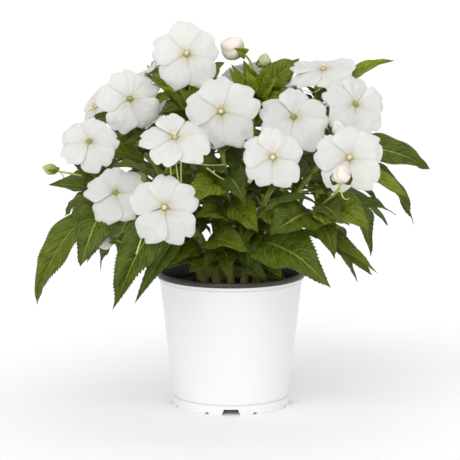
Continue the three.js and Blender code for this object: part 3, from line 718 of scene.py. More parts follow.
# %% [markdown]
# ## The leaves' places
#
# A leaf is told by where it leaves its stem, where its tip is, its width, and which way its face
# leans. A first guess from the photo gave the rows. The CAD model then swung a few of them clear
# of their neighbours, and these are the rows after that.

# %% One row for each leaf
LEAVES = {
    # place on the stem, tip x, y, z, width, how far the face leans, towards which azimuth, arch
    "front_left": [
        (0.8, -106, -152, 121, 40, 1.4, -100, 0.1),
        (0.7, -80, -92, 151, 30, 1.3, -130, 0.18),
        (0.6, -91, -108, 121, 20, 1, -60, 0.2),
        (0.42, -79.4, -103.5, 139.5, 30, 1.3, -95, 0.1),
        (0.52, -43.7, -92.8, 184.4, 22, 1.4, -90, 0.12),
        (0.33, 17, -116, 168, 32, 1.5, -90, 0.12),
        (0.16, -38, -64, 137, 22, 1.2, -90, 0.16),
        (1, -26.1, -59, 226.5, 24, 0.35, -114, 0.14),
        (1, -103.8, -103.5, 240.9, 24, 0.35, -132, 0.14),
    ],
    "low_left": [
        (0.98, -184, -45, 106, 31, 1.8, -110, 0.16),
        (0.94, -134, -126, 157, 50, 1.9, -95, 0.16),
        (0.99, -167, -50, 214, 21, 0.7, -90, 0.12),
        (0.92, -157, -12, 218, 27, 0.9, -100, 0.14),
        (0.88, -148.7, -57.9, 238.3, 27, 1.3, -90, 0.1),
        (0.84, -130, -66, 149, 26, 1, -100, 0.18),
        (0.6, -128, 10, 128, 34, 0.6, 150, 0.14),
        (1, -100.1, -15.2, 237.7, 22, 0.35, -164, 0.14),
        (1, -152.5, -71.4, 189.4, 22, 0.35, -155, 0.14),
    ],
    "high_left": [
        (0.92, -132, -24, 274, 24, 0.7, -100, 0.12),
        (0.8, -59, -60, 247, 30, 0.9, -90, 0.12),
        (0.97, -47.3, -15.7, 298.7, 20, 0.5, -90, 0.1),
        (0.72, -159, 16, 232, 38, 0.6, -110, 0.14),
        (1, -72.4, 31.6, 277.8, 23, 0.35, 156, 0.14),
        (1, -108.4, -17, 294.1, 19.2, 0.35, -157, 0.14),
        (0.5, -110.2, 64.1, 182.9, 38, 0.35, 138, 0.14),
        (0.5, -60.1, -74.5, 172.6, 38, 0.35, -116, 0.14),
    ],
    "top_left": [
        (0.98, -76, 20, 317, 22, 0.9, -80, 0.1),
        (0.96, -8, 22, 323, 24, 1.1, -90, 0.06),
        (0.85, -65.2, -48.3, 281.1, 30, 0.8, -90, 0.14),
        (0.7, -28.3, 86.7, 254.7, 34, 0.35, 108, 0.14),
        (0.7, -101.3, -34.7, 252.4, 34, 0.35, -161, 0.14),
        (0.7, 38.4, -41.5, 250.8, 34, 0.35, -47, 0.14),
    ],
    "front_middle": [
        (0.72, -40, -118, 208, 34, 1.3, -90, 0.12),
        (0.42, -32, -102, 195, 32, 1.3, -90, 0.12),
        (0.85, -33, -86, 236, 30, 1, -90, 0.12),
        (0.8, 13, -108, 210, 28, 1.4, -90, 0.12),
        (0.6, 28, -98, 180, 30, 1.4, -90, 0.1),
        (0.24, -3, -82, 137, 22, 1.3, -90, 0.16),
        (1, 30.3, -41.3, 257, 22, 0.35, -54, 0.14),
        (1, -47.3, -68.3, 255.1, 22, 0.35, -122, 0.14),
    ],
    "top_middle": [
        (0.97, 13.3, -0.6, 325.5, 18, 1.2, -90, 0.05),
        (0.99, 63.6, 24.5, 325.4, 30, 1.5, -95, 0.1),
        (0.93, 5.5, -27, 300.4, 20, 0.6, -90, 0.1),
        (0.9, 55.2, -29.6, 286.5, 28, 0.6, -90, 0.2),
        (0.82, 63.4, -4.1, 286.6, 28, 0.8, -90, 0.14),
        (0.7, 57.8, 72, 236.3, 36, 0.35, 51, 0.14),
        (0.7, 8.5, -71.5, 216.8, 36, 0.35, -104, 0.14),
    ],
    "high_right": [
        (1, 149, 20, 326, 20, 0.6, -60, 0.08),
        (0.88, 93.5, -59.9, 268.1, 28, 0.8, -90, 0.1),
        (0.84, 62.2, -52.5, 258.3, 28, 0.9, -90, 0.14),
        (0.96, 115.9, 35, 288.4, 25, 0.35, 17, 0.14),
        (0.96, 39.2, -25, 296, 25, 0.35, -32, 0.14),
        (0.66, 95.4, 86.6, 244.6, 36, 0.35, 39, 0.14),
        (0.66, 20.6, -74.9, 232.4, 36, 0.35, -83, 0.14),
    ],
    "right": [
        (0.95, 187, -28, 226, 31, 1.3, -90, 0.16),
        (0.72, 163, -75, 204, 32, 0.6, -70, 0.14),
        (0.76, 33, -104, 219, 24, 0.7, -90, 0.1),
        (0.6, 150, -2, 170, 40, 0.6, 0, 0.14),
        (1, 132, 4.1, 272, 22, 0.35, 2, 0.14),
        (1, 52.2, -18.8, 256.8, 22, 0.35, -20, 0.14),
        (1, 105, -75.8, 252.5, 22, 0.35, -34, 0.14),
    ],
    "low_right": [
        (0.98, 151, -62, 193, 15, 0.8, -90, 0.14),
        (0.9, 121, -114, 184, 46, 1.8, -75, 0.16),
        (0.88, 97, -104, 160, 25, 1.6, -90, 0.14),
        (0.8, 131, -84, 135, 18, 1.2, -110, 0.1),
        (0.94, 100.5, -127.7, 194.6, 26, 1.3, -90, 0.12),
        (0.86, 35.6, -125.4, 179.5, 48, 1.8, -90, 0.12),
        (0.97, 21, -112, 196, 13, 0.5, -90, 0.2),
        (0.6, 118, -30, 128, 34, 0.6, -20, 0.14),
    ],
    "middle_right": [
        (0.38, 90, -146, 146, 54, 1.7, -85, 0.1),
        (0.62, 4.9, -100.9, 165.1, 20, 1, -90, 0.12),
        (0.5, 11, -98, 154, 24, 1.6, -90, 0.14),
        (0.75, 63.3, -99.2, 177.9, 34, 1.3, -90, 0.14),
        (1, 70.7, -35, 222.1, 21, 0.35, -33, 0.14),
        (1, 5.7, -43.8, 236.7, 21, 0.35, -83, 0.14),
        (1, 8.6, -99.3, 229.4, 21, 0.35, -77, 0.14),
    ],
    "back_left": [
        (0.9, -158.5, 35.9, 144.4, 40, 0.8, 160, 0.14),
        (0.7, -112, 128, 128, 42, 0.8, 130, 0.14),
        (0.5, -110, 62, 132, 34, 0.6, 150, 0.14),
        (1, -43.3, 74.7, 250.6, 25, 0.35, 120, 0.14),
        (1, -136.3, 77.5, 243.7, 25, 0.35, 142, 0.14),
        (1, -97.7, 6.2, 256.3, 25, 0.35, 176, 0.14),
        (0.72, -88.5, 124.2, 194.6, 38, 0.35, 125, 0.14),
        (0.72, -34.6, -22.7, 216.6, 34.8, 0.35, -136, 0.14),
    ],
    "back_middle": [
        (0.86, -54, 152, 150, 42, 0.8, 110, 0.14),
        (0.5, 4, 118, 128, 36, 0.8, 90, 0.14),
        (0.4, -60, 104, 138, 32, 0.6, 120, 0.14),
        (1, -3.2, 142.5, 250.9, 25, 0.35, 92, 0.14),
        (1, -78.8, 99.5, 252.2, 25, 0.35, 128, 0.14),
        (1, -20.8, 47.6, 250.1, 25, 0.35, 105, 0.14),
        (0.7, 54.1, 101.2, 201.4, 38, 0.35, 62, 0.14),
        (0.7, -96.6, 31.3, 230.8, 38, 0.35, 166, 0.14),
    ],
    "back_right": [
        (0.88, 98.4, 137.6, 157.6, 42, 0.8, 60, 0.14),
        (0.6, 44, 136, 132, 38, 0.8, 70, 0.14),
        (1, 95.1, 99.7, 274.3, 25, 0.35, 45, 0.14),
        (1, 21.8, 137.3, 258.1, 25, 0.35, 81, 0.14),
        (1, 22.8, 40.6, 267.5, 25, 0.35, 61, 0.14),
        (0.68, 96.7, 80.8, 197.6, 38, 0.35, 49, 0.14),
        (0.68, -30.6, 101.7, 172.4, 38, 0.35, 119, 0.14),
        (0.68, 27.1, -11.5, 201.7, 38, 0.35, -15, 0.14),
    ],
    "far_right": [
        (0.9, 176, 74, 162, 42, 0.8, 25, 0.14),
        (0.68, 140, 106, 130, 40, 0.8, 35, 0.14),
        (0.45, 116, 66, 130, 34, 0.6, 30, 0.14),
        (1, 145.3, 81.6, 219.6, 24, 0.35, 29, 0.14),
        (1, 62.5, 71.9, 232, 24, 0.35, 49, 0.14),
        (1, 98.1, 1.5, 245.4, 24, 0.35, 1, 0.14),
        (0.62, 145.6, 40.7, 187.3, 38, 0.35, 16, 0.14),
        (0.62, -8.4, 22.5, 184.7, 38, 0.35, 99, 0.14),
    ],
}
print(sum(len(rows) for rows in LEAVES.values()), "leaves")

# %% [markdown]
# ## The flowers' and buds' places
#
# A flower has a middle, a direction that it faces (azimuth and elevation), a diameter, and a turn
# about its own axis. A bud has a length and a width instead. `from_t` is where its stalk leaves
# the stem.

# %% One row for each flower and bud
BLOOMS = {
    # name: stem, from_t, middle x, y, z, face azimuth, elevation, diameter, roll
    "peak": ("top_left", 0.9, (-41, -15, 333), (-88, 16), 66, 4),
    "upper_left": ("high_left", 0.94, (-93, -32, 293), (-74, 12), 61, 16),
    "left": ("low_left", 0.98, (-129, -60, 257), (-96, 38), 58, -10),
    "low_left": ("low_left", 0.9, (-104, -100, 216), (-98, 24), 57, 14),
    "front_left": ("front_left", 0.86, (-59, -135, 208), (-92, 8), 64, 0),
    "inner_left": ("front_left", 0.96, (-50, -118, 268), (-92, 52), 65, 12),
    "middle": ("front_middle", 0.97, (-9, -72, 286), (-90, 10), 68, 8),
    "front_right": ("middle_right", 0.95, (37, -120, 251), (-90, 4), 57, 0),
    "upper_right": ("middle_right", 0.98, (57, -66, 280), (-80, 38), 66, -8),
    "right": ("right", 0.86, (106, -104, 248), (-88, 16), 63, 6),
    "far_right": ("right", 0.96, (114, -40, 289), (-62, 18), 62, -14),
    "top_right": ("high_right", 0.94, (86, -6, 317), (-112, 68), 64, 10),
    "left_behind": ("high_left", 0.86, (-126, 16, 280), (-150, 28), 54, 5),
    "top_behind": ("top_left", 0.94, (-76, 34, 313), (150, 52), 58, 0),
    "top_back": ("top_middle", 0.88, (18, 66, 304), (85, 52), 62, 9),
    "back_left_high": ("back_left", 0.96, (-84, 88, 272), (128, 26), 62, 3),
    "back_left_low": ("back_left", 0.88, (-128, 84, 216), (150, 14), 60, 20),
    "back_middle_high": ("back_middle", 0.95, (-30, 118, 282), (100, 30), 64, -6),
    "back_right_high": ("back_right", 0.95, (44, 112, 288), (76, 30), 62, 15),
    "back_right_low": ("back_right", 0.86, (30, 142, 216), (84, 10), 63, -4),
    "far_right_high": ("far_right", 0.95, (112, 72, 268), (38, 24), 62, 0),
}
BUDS = {
    # name: stem, from_t, middle, face, length, width
    "large": ("top_middle", 0.96, (1, 10, 336), (-160, 28), 25, 24),
    "small": ("top_middle", 0.98, (31, -2, 326), (-60, 66), 14, 12),
    "left": ("low_left", 0.99, (-167, -34, 228), (168, 12), 15, 11),
    "right": ("right", 0.93, (97, -79, 271), (-120, 60), 18, 12),
    "front_right": ("low_right", 0.95, (98, -134, 237), (-82, 62), 19, 16),
    "inner_left": ("front_left", 0.94, (-80, -84, 228), (-130, 55), 14, 10),
    "low_left": ("low_left", 0.78, (-116, -52, 163), (-140, -8), 18, 15),
    "back": ("back_middle", 0.9, (2, 132, 252), (70, 42), 18, 14),
}
print(len(BLOOMS), "flowers and", len(BUDS), "buds")

# %% The directions of a flower or bud
def head_frame(face):
    """Forward out of the face, to its right, and up across it."""
    normal = pointing(*map(math.radians, face))
    right = unit(np.cross(vec(0, 0, 1), normal))
    return normal, right, np.cross(normal, right)


print("a face straight to the front:", np.round(head_frame((-90, 0))[0], 3).tolist())

# %% [markdown]
# ## The stems' finish
#
# The stems are fleshy and full of water. They are olive to reddish brown near the soil and at each
# joint, and pale green where they are young. Each path carries a value named `young`, and the
# material mixes its greens by it, so the change of colour follows the stem whichever way it leans.

# %% Stem finish
stem_finish, tree, shader = new_finish(
    "fleshy_stem", Specular_IOR_Level=0.3, Subsurface_Weight=0.12, Subsurface_Scale=0.002,
    Subsurface_Radius=(0.6, 0.8, 0.1),
)
young = carried(tree, "young")
place = object_place(tree)
streak = noise(place, 210.0, detail=4.0, roughness=0.6)
base = mix_colour(streak, rgb(0.24, 0.24, 0.05), rgb(0.42, 0.36, 0.11))
fresh = mix_colour(streak, rgb(0.28, 0.36, 0.05), rgb(0.46, 0.52, 0.12))
colour = mix_colour(smooth(young, 0.05, 0.6), base, fresh)
colour = mix_colour(smooth(young, 1.0, 1.6), colour, rgb(0.58, 0.62, 0.22))
dress(
    shader,
    Base_Color=mix_colour(smooth(carried(tree, "joint"), 0.2, 1.0) * 0.6, colour, rgb(0.30, 0.17, 0.06)),
    Roughness=streak * 0.2 + 0.32,
    Normal=bump(streak, 0.35, 0.5),
)
print("stem finish:", len(tree.nodes), "nodes")

# %% [markdown]
# ## Stems and flower stalks
#
# A stem is a path with a thickness at each point, and Geometry Nodes sweep a circle along it.
# The same tree makes the thick stems, the thin flower stalks and the curved nectar spurs, because
# all three are round and taper. The thickness swells a little at each leaf, where a real stem has
# its joint.

# %% A tree that sweeps a circle along paths
tube_tree, size, result = geometry_tree("round stems", Sides="Int", Finish="Material")
path = put(tube_tree, "GeometryNodeMeshToCurve", {"Mesh": size["Geometry"]})
circle = put(tube_tree, "GeometryNodeCurvePrimitiveCircle", {"Resolution": size["Sides"], "Radius": 1.0})
tube = put(
    tube_tree,
    "GeometryNodeCurveToMesh",
    {
        "Curve": Wire(tube_tree, path.outputs[0]),
        "Profile Curve": Wire(tube_tree, circle.outputs[0]),
        "Scale": named(tube_tree, "thick"),
        "Fill Caps": True,
    },
)
finish_tree(tube_tree, Wire(tube_tree, tube.outputs[0]), size["Finish"], result)
print("stem tree nodes:", len(tube_tree.nodes))


# %% Paths as bare edges
def path_object(name, paths):
    """Each path is a list of (point, thickness, young, joint), in millimetres."""
    mesh = bpy.data.meshes.new(name)
    points, edges = [], []
    for path in paths:
        start = len(points)
        points += path
        edges += [(start + i, start + i + 1) for i in range(len(path) - 1)]
    mesh.from_pydata([p[0] * MM for p in points], edges, [])
    for column, label, scale in ((1, "thick", MM), (2, "young", 1.0), (3, "joint", 1.0)):
        carry(mesh, label, [p[column] * scale for p in points])
    return show(name, mesh)


# %% A stem's path
STEM_BURIED = 12.0
STEM_STEPS = 30
STEM_TAPER = 0.45
JOINT_REACH = 0.022  # as a share of the stem's length
JOINT_SWELL = 0.16


def stem_path(name):
    """From below the soil to the tip, a little thicker at each leaf."""
    radius = STEMS[name][4]
    joints = [row[0] for row in LEAVES[name]]
    path = []
    for i in range(STEM_STEPS + 1):
        t = i / STEM_STEPS
        near = max(math.exp(-(((t - j) / JOINT_REACH) ** 2)) for j in joints)
        thick = radius * (1 - STEM_TAPER * (1 + 5 * t) / 6) * (0.92 + JOINT_SWELL * near)
        path.append((stem_point(name, t), thick, t, near))
    foot = path[0][0]
    return [(foot - vec(0, 0, STEM_BURIED), radius * 0.9, 0, 0)] + path


print("thickest stem:", round(max(p[1] for name in STEMS for p in stem_path(name)) * 2, 1), "mm across")

# %% A flower stalk's path
STALK_STEPS = 14
STALK_LIFT = 0.35
FLAT_BUD_LIFT = 0.1
INTO_THE_FLOWER = 14


def bezier(points, t):
    """A point on the cubic curve of four points."""
    a, b, c, d = points
    s = 1 - t
    return a * s**3 + b * 3 * s * s * t + c * 3 * s * t * t + d * t**3


def stalk_path(stem, from_t, middle, face, back, lift=STALK_LIFT):
    """From the stem up behind a flower, as in the CAD model."""
    normal, _, _ = head_frame(face)
    root = stem_point(stem, from_t)
    seat = vec(*middle) - normal * back
    reach = np.linalg.norm(seat - root)
    into = min(INTO_THE_FLOWER, reach * 0.4)
    hold = [root, root + vec(0, 0, lift * reach), seat - normal * into, seat]
    path = []
    for i in range(STALK_STEPS + 1):
        t = i / STALK_STEPS
        path.append((bezier(hold, t), 1.35 - 0.45 * t, 0.75 + 0.5 * t, 0))
    return path


peak = BLOOMS["peak"]
print("the highest flower's stalk has", len(stalk_path(*peak[:4], back=3.0)), "points")


# %% A spur's path
SPUR_TURN = math.radians(150)


def spur_path(middle, face, back, length, sag, twist):
    """The hollow spur that curves down and forward from the back of a flower or bud."""
    normal, right, up = head_frame(face)
    start = vec(*middle) - normal * back
    path = []
    for i in range(STALK_STEPS + 1):
        t = i / STALK_STEPS
        turn = SPUR_TURN * t
        run = length * (math.sin(turn) * -normal - (1 - math.cos(turn)) * sag * up) / SPUR_TURN
        side = right * length * twist * t * t
        path.append((start + run + side, 0.75 - 0.45 * t, 1.5, 0))
    return path


print("points of a spur:", len(spur_path(*peak[2:4], 3.0, 34, 0.7, 0.0)))

# %% [markdown]
# ## A leaf's pattern
#
# All leaves are cut from one pattern, as a paper flower maker would do it.
# The pattern is a thin closed sheet: x runs across in half widths, y runs from the stalk (0) to the
# tip (1), and z is how far the blade lifts. It has the folded rib, the raised fields between the
# side veins and the toothed margin. Each vertex also carries `raise_mm`, half the leaf's thickness
# up or down, so that a large leaf isn't thicker than a small one.

# %% A thin closed sheet from a grid of points
def sheet_pattern(name, place, raise_mm, chart, pointed):
    """The upper and under skins share their long edges and their far end."""
    rows, columns = raise_mm.shape
    top = np.arange(rows * columns).reshape(rows, columns)
    low = top + rows * columns
    low[:, 0], low[:, -1] = top[:, 0], top[:, -1]
    if pointed:
        top[-1] = top[-1, columns // 2]
    low[-1] = top[-1]
    quads = []
    for r in range(rows - 1):
        for c in range(columns - 1):
            quads.append((top[r, c], top[r, c + 1], top[r + 1, c + 1], top[r + 1, c]))
            quads.append((low[r, c], low[r + 1, c], low[r + 1, c + 1], low[r, c + 1]))
    for c in range(columns - 1):
        quads.append((top[0, c], low[0, c], low[0, c + 1], top[0, c + 1]))
    faces = [tuple(dict.fromkeys(int(i) for i in quad)) for quad in quads]
    faces = [face for face in faces if len(face) > 2]
    used = sorted({i for face in faces for i in face})
    fresh = {old: new for new, old in enumerate(used)}
    points = np.concatenate([place.reshape(-1, 3)] * 2)[used]
    heights = np.concatenate([raise_mm.ravel(), -raise_mm.ravel()])[used]
    charts = np.concatenate([chart.reshape(-1, 2)] * 2)[used]
    mesh = bpy.data.meshes.new(name)
    mesh.from_pydata(points.tolist(), [], [[fresh[i] for i in face] for face in faces])
    carry(mesh, "pattern", points.ravel(), "FLOAT_VECTOR")
    carry(mesh, "raise", heights * MM)
    carry(mesh, "under", np.where(heights < 0, 1.0, 0.0))
    corners = [loop.vertex_index for loop in mesh.loops]
    mesh.uv_layers.new(name="UVMap").data.foreach_set("uv", charts[corners].ravel())
    return show(name, mesh)


# %% The outline of a leaf's blade
PETIOLE = 0.13
PETIOLE_HALF = 0.075
BLADE_PEAK = 0.2743  # makes the widest place 1


def blade_share(b):
    """The half width of the blade from its foot (0) to its drawn-out tip (1)."""
    return b**0.72 * (1 - b) ** 1.25 / BLADE_PEAK


print("half width a third of the way up:", round(blade_share(1 / 3), 3))

# %% Cut the leaf pattern
FOLD = 0.3
SIDE_VEINS = 9
VEIN_SWEEP = 0.3
TOOTH_OUT, TOOTH_IN = 0.06, -0.04
FIELD_HEIGHT = 0.14
WAVE_HEIGHT, WAVE_START, WAVE_LENGTH = 0.13, 0.12, 0.38


def leaf_pattern(name, teeth, across):
    """`across` is where the pattern's points lie, from the rib (0) to the margin (1)."""
    b = np.linspace(0, 1, 2 * teeth + 1)
    s = np.concatenate([np.linspace(0, PETIOLE, 4, endpoint=False), PETIOLE + b * (1 - PETIOLE)])
    b = np.clip((s - PETIOLE) / (1 - PETIOLE), 0, 1)
    a = np.array([-x for x in across[:0:-1]] + across)
    half = np.maximum(blade_share(b), PETIOLE_HALF * (1 - b))
    saw = np.where(np.arange(len(s)) % 2 == 1, TOOTH_OUT, TOOTH_IN) * (b > 0.02) * (b < 0.95)
    grid_a, grid_b = np.meshgrid(a, b)
    reach = np.abs(grid_a)
    width = half[:, None] * (1 + saw[:, None] * (reach > 0.99))
    veins = np.abs(np.sin(np.pi * SIDE_VEINS * (grid_b - VEIN_SWEEP * reach**1.2)))
    field = veins**0.55 * np.sin(np.pi * np.clip(reach, 0, 1)) ** 0.6 * FIELD_HEIGHT
    wave = -WAVE_HEIGHT * np.cos(2 * np.pi * (grid_b - WAVE_START) / WAVE_LENGTH) * reach**2
    lift = math.sin(FOLD) * (1.25 * reach - 0.25 * reach**2) + wave + field * (grid_b > 0)
    forward = saw[:, None] * (reach > 0.99) * 0.2
    place = np.stack(
        [grid_a * width * math.cos(FOLD), s[:, None] + forward, lift * half[:, None] * (grid_b > 0)], -1
    )
    stalk = 1 - np.clip(s / (PETIOLE + 0.1), 0, 1)
    thick = 0.28 + 0.75 * stalk[:, None] + 0.25 * (reach < 0.05) * (1 - b[:, None])
    raise_mm = thick * np.sqrt(1 - reach**30)
    chart = np.stack([0.5 + 0.5 * grid_a, s[:, None] + 0 * grid_a], -1)
    return sheet_pattern(name, place, raise_mm, chart, pointed=True)


big_leaf = leaf_pattern("big_leaf", 36, [0, 0.05, 0.16, 0.32, 0.5, 0.68, 0.86, 0.98, 1])
small_leaf = leaf_pattern("small_leaf", 20, [0, 0.07, 0.28, 0.58, 0.86, 0.98, 1])
print("leaf patterns:", len(big_leaf.data.polygons), "and", len(small_leaf.data.polygons), "faces")

# %% [markdown]
# ## Growing sheets where they belong
#
# Each leaf or petal is one point that carries its own directions and sizes. Geometry Nodes put the
# pattern on every point, make it real, and then bend it by one formula: along the spine, which
# arches like a bow, and across it by the pattern's own x and z. An instance alone could only be
# turned and scaled, so the bending comes after the instances are real.

# %% The pattern on every point, made real
sheet_tree, size, result = geometry_tree(
    "sheets grown from a pattern", Pattern="Object", Finish="Material", Ruffle="Float",
    Grain="Float", Wobble="Float",
)
t = sheet_tree
cutout = put(t, "GeometryNodeObjectInfo", {"Object": size["Pattern"]})
laid = put(
    t,
    "GeometryNodeInstanceOnPoints",
    {"Points": size["Geometry"], "Instance": Wire(t, cutout.outputs["Geometry"])},
)
real = put(t, "GeometryNodeRealizeInstances", {"Geometry": Wire(t, laid.outputs[0])})
root, along, side = (named(t, label, "FLOAT_VECTOR") for label in ("root", "along", "side"))
length, half, arch = named(t, "length"), named(t, "half"), named(t, "arch")
pattern = named(t, "pattern", "FLOAT_VECTOR")
across, run, lift = (part_of(pattern, axis) for axis in "xyz")
print("nodes so far:", len(t.nodes))

# %% Uneven outlines, and the bend along the spine
HOOK_FROM = 0.62  # how far up a leaf or petal the tip begins to hang
offset = named(t, "tone").calc("MULTIPLY", (37.0, 91.0, 53.0))
uneven = put(t, "ShaderNodeTexNoise", {"Vector": pattern - offset, "Scale": 1.9, "Detail": 1.0})
uneven = (Wire(t, uneven.outputs[1]) - (0.5, 0.5, 0.5)) * size["Wobble"]
across = across * (part_of(uneven, "x") + 1.0)
run = run * (part_of(uneven, "y") * smooth(run, 0.3, 1.0) + 1.0)
rise = side.calc("CROSS_PRODUCT", along)
spine = root + along * (length * run) + rise * (length * arch * run * (1.0 - run) * 4.0)
spine = spine + side * (length * named(t, "sweep") * run * run)
hook = (run - HOOK_FROM).calc("MAXIMUM", 0.0)
spine = spine - rise * (length * named(t, "curl") * hook * hook)
print("nodes so far:", len(t.nodes))

# %% The ripple and the thickness, across the spine
up = (rise - along * (arch * (1.0 - run * 2.0) * 4.0)).calc("NORMALIZE")
ripple = put(
    t, "ShaderNodeTexNoise", {"Vector": pattern + offset, "Scale": size["Grain"], "Detail": 1.0}
)
loose = smooth(run, 0.15, 0.9)
height = lift * half + named(t, "raise")
height = height + (Wire(t, ripple.outputs[0]) - 0.5) * size["Ruffle"] * half * loose
place = spine + side * (half * across) + up * height
moved = put(t, "GeometryNodeSetPosition", {"Geometry": Wire(t, real.outputs[0]), "Position": place})
finish_tree(sheet_tree, Wire(t, moved.outputs[0]), size["Finish"], result)
print("sheet tree nodes:", len(sheet_tree.nodes))


# %% Points that carry a sheet's directions and sizes
CARRIED = ("root", "along", "side", "length", "half", "arch", "sweep", "curl", "pattern", "raise")


def spot(root, along, side, length, half, arch=0.0, sweep=0.0, curl=0.0, tone=0.5):
    """One leaf or petal. Lengths are in millimetres."""
    return {
        "root": root * MM, "along": along, "side": side, "length": length * MM, "half": half * MM,
        "arch": arch, "sweep": sweep, "curl": curl, "tone": tone,
    }


def grow_sheets(name, spots, pattern, finish, ruffle, grain, wobble):
    """Bends the pattern onto every spot, and drops the values that no finish reads."""
    mesh = bpy.data.meshes.new(name)
    mesh.from_pydata([s["root"] for s in spots], [], [])
    for label, first in spots[0].items():
        values = np.array([s[label] for s in spots], float).ravel()
        carry(mesh, label, values, "FLOAT_VECTOR" if np.ndim(first) else "FLOAT")
    points = show(name + "_points", mesh)
    grown = run_tree(
        name, points, sheet_tree, Pattern=pattern, Finish=finish, Ruffle=ruffle, Grain=grain,
        Wobble=wobble,
    )
    bpy.data.objects.remove(points)
    for label in CARRIED:
        if label in grown.data.attributes:
            grown.data.attributes.remove(grown.data.attributes[label])
    return grown


print("values on each spot:", ", ".join(spot(vec(0, 0, 0), vec(1, 0, 0), vec(0, 1, 0), 1, 1)))

# %% [markdown]
# ## The leaves' finish
#
# The upper side is deep green with a waxy gloss that catches the sky as a grey sheen.
# The rib and the side veins are pale yellow-green, and the underside is lighter and duller.
# Veins are drawn from the leaf's own map with the same formula that raised the fields in the
# pattern, so colour and relief agree; the furrows beside the veins get painted shade. `tone`
# differs from leaf to leaf, as age does, and on high leaves it also carries painted light.

# %% Where the rib and the side veins run
leaf_finish, tree, shader = new_finish(
    "impatiens_leaf", Specular_IOR_Level=0.3, Subsurface_Weight=0.12, Subsurface_Scale=0.001,
    Subsurface_Radius=(0.5, 0.8, 0.1),
)
chart = leaf_map(tree)
reach = (part_of(chart, "x") - 0.5).calc("ABSOLUTE") * 2.0
blade = (part_of(chart, "y") - PETIOLE) / (1 - PETIOLE)
vein_at = ((blade - (reach ** 1.2) * VEIN_SWEEP) * SIDE_VEINS).calc("FRACT")
vein_far = ((vein_at - 0.5).calc("ABSOLUTE") * -2.0) + 1.0
side_vein = smooth(vein_far, 0.16, 0.03) * smooth(reach, 0.98, 0.7)
rib = smooth(reach, 0.075, 0.03)
furrow = smooth(vein_far, 0.55, 0.1)
stalk = smooth(blade, 0.06, -0.02)
print("vein nodes:", len(tree.nodes))

# %% The greens of a leaf
place = object_place(tree)
mottle = smooth(noise(place, 110.0, detail=4.0, roughness=0.6), 0.3, 0.7)
tone = carried(tree, "tone")
deep = mix_colour(mottle, rgb(0.040, 0.066, 0.004), rgb(0.105, 0.145, 0.008))
fresh = mix_colour(mottle, rgb(0.22, 0.28, 0.008), rgb(0.37, 0.43, 0.018))
# Painted light: `tone` is raised on high leaves, so they are painted a fresher, brighter green.
green = mix_colour(smooth(tone, 0.15, 1.0), deep, fresh)
# Painted shade: the furrows along the side veins are painted a near-black green.
green = mix_colour(furrow * 0.55, green, rgb(0.014, 0.024, 0.003))
green = mix_colour(side_vein * 0.7, green, rgb(0.30, 0.37, 0.06))
green = mix_colour(rib * 0.9, green, rgb(0.36, 0.43, 0.08))
green = mix_colour(smooth(reach, 0.93, 1.0) * 0.35, green, rgb(0.16, 0.2, 0.02))
below = mix_colour(mottle, rgb(0.075, 0.11, 0.02), rgb(0.13, 0.17, 0.035))
below = mix_colour((side_vein * 0.5).calc("MAXIMUM", rib), below, rgb(0.30, 0.36, 0.09))
colour = mix_colour(carried(tree, "under"), green, below)
print("vein and colour nodes:", len(tree.nodes))

# %% Leaf finish
pores = noise(place, 900.0, detail=2.0)
crinkle = noise(place, 260.0, detail=3.0, roughness=0.6)
dress(
    shader,
    Base_Color=mix_colour(stalk, colour, rgb(0.30, 0.36, 0.07)),
    Roughness=carried(tree, "under") * 0.2 + mottle * 0.16 + 0.25,
    Normal=bump(pores * 0.25 + crinkle * 1.2 - furrow - rib, 0.9, 0.8),
)
let_light_through(leaf_finish, shader, 0.22, rgb(0.60, 0.74, 0.03))
print("leaf finish:", len(tree.nodes), "nodes")

# %% [markdown]
# ## The leaves
#
# The rows above are the leaves that the photo shows. A real plant has many more, small and young.
# They could all be placed by hand, but that is long work for leaves that are half hidden.
# So only the ones that show are in a table. The others grow in whorls up each stem, each a golden
# angle round from the last, wherever they stay inside the bush and leave the flowers free.
# Each stem ends in a tuft of young leaves.

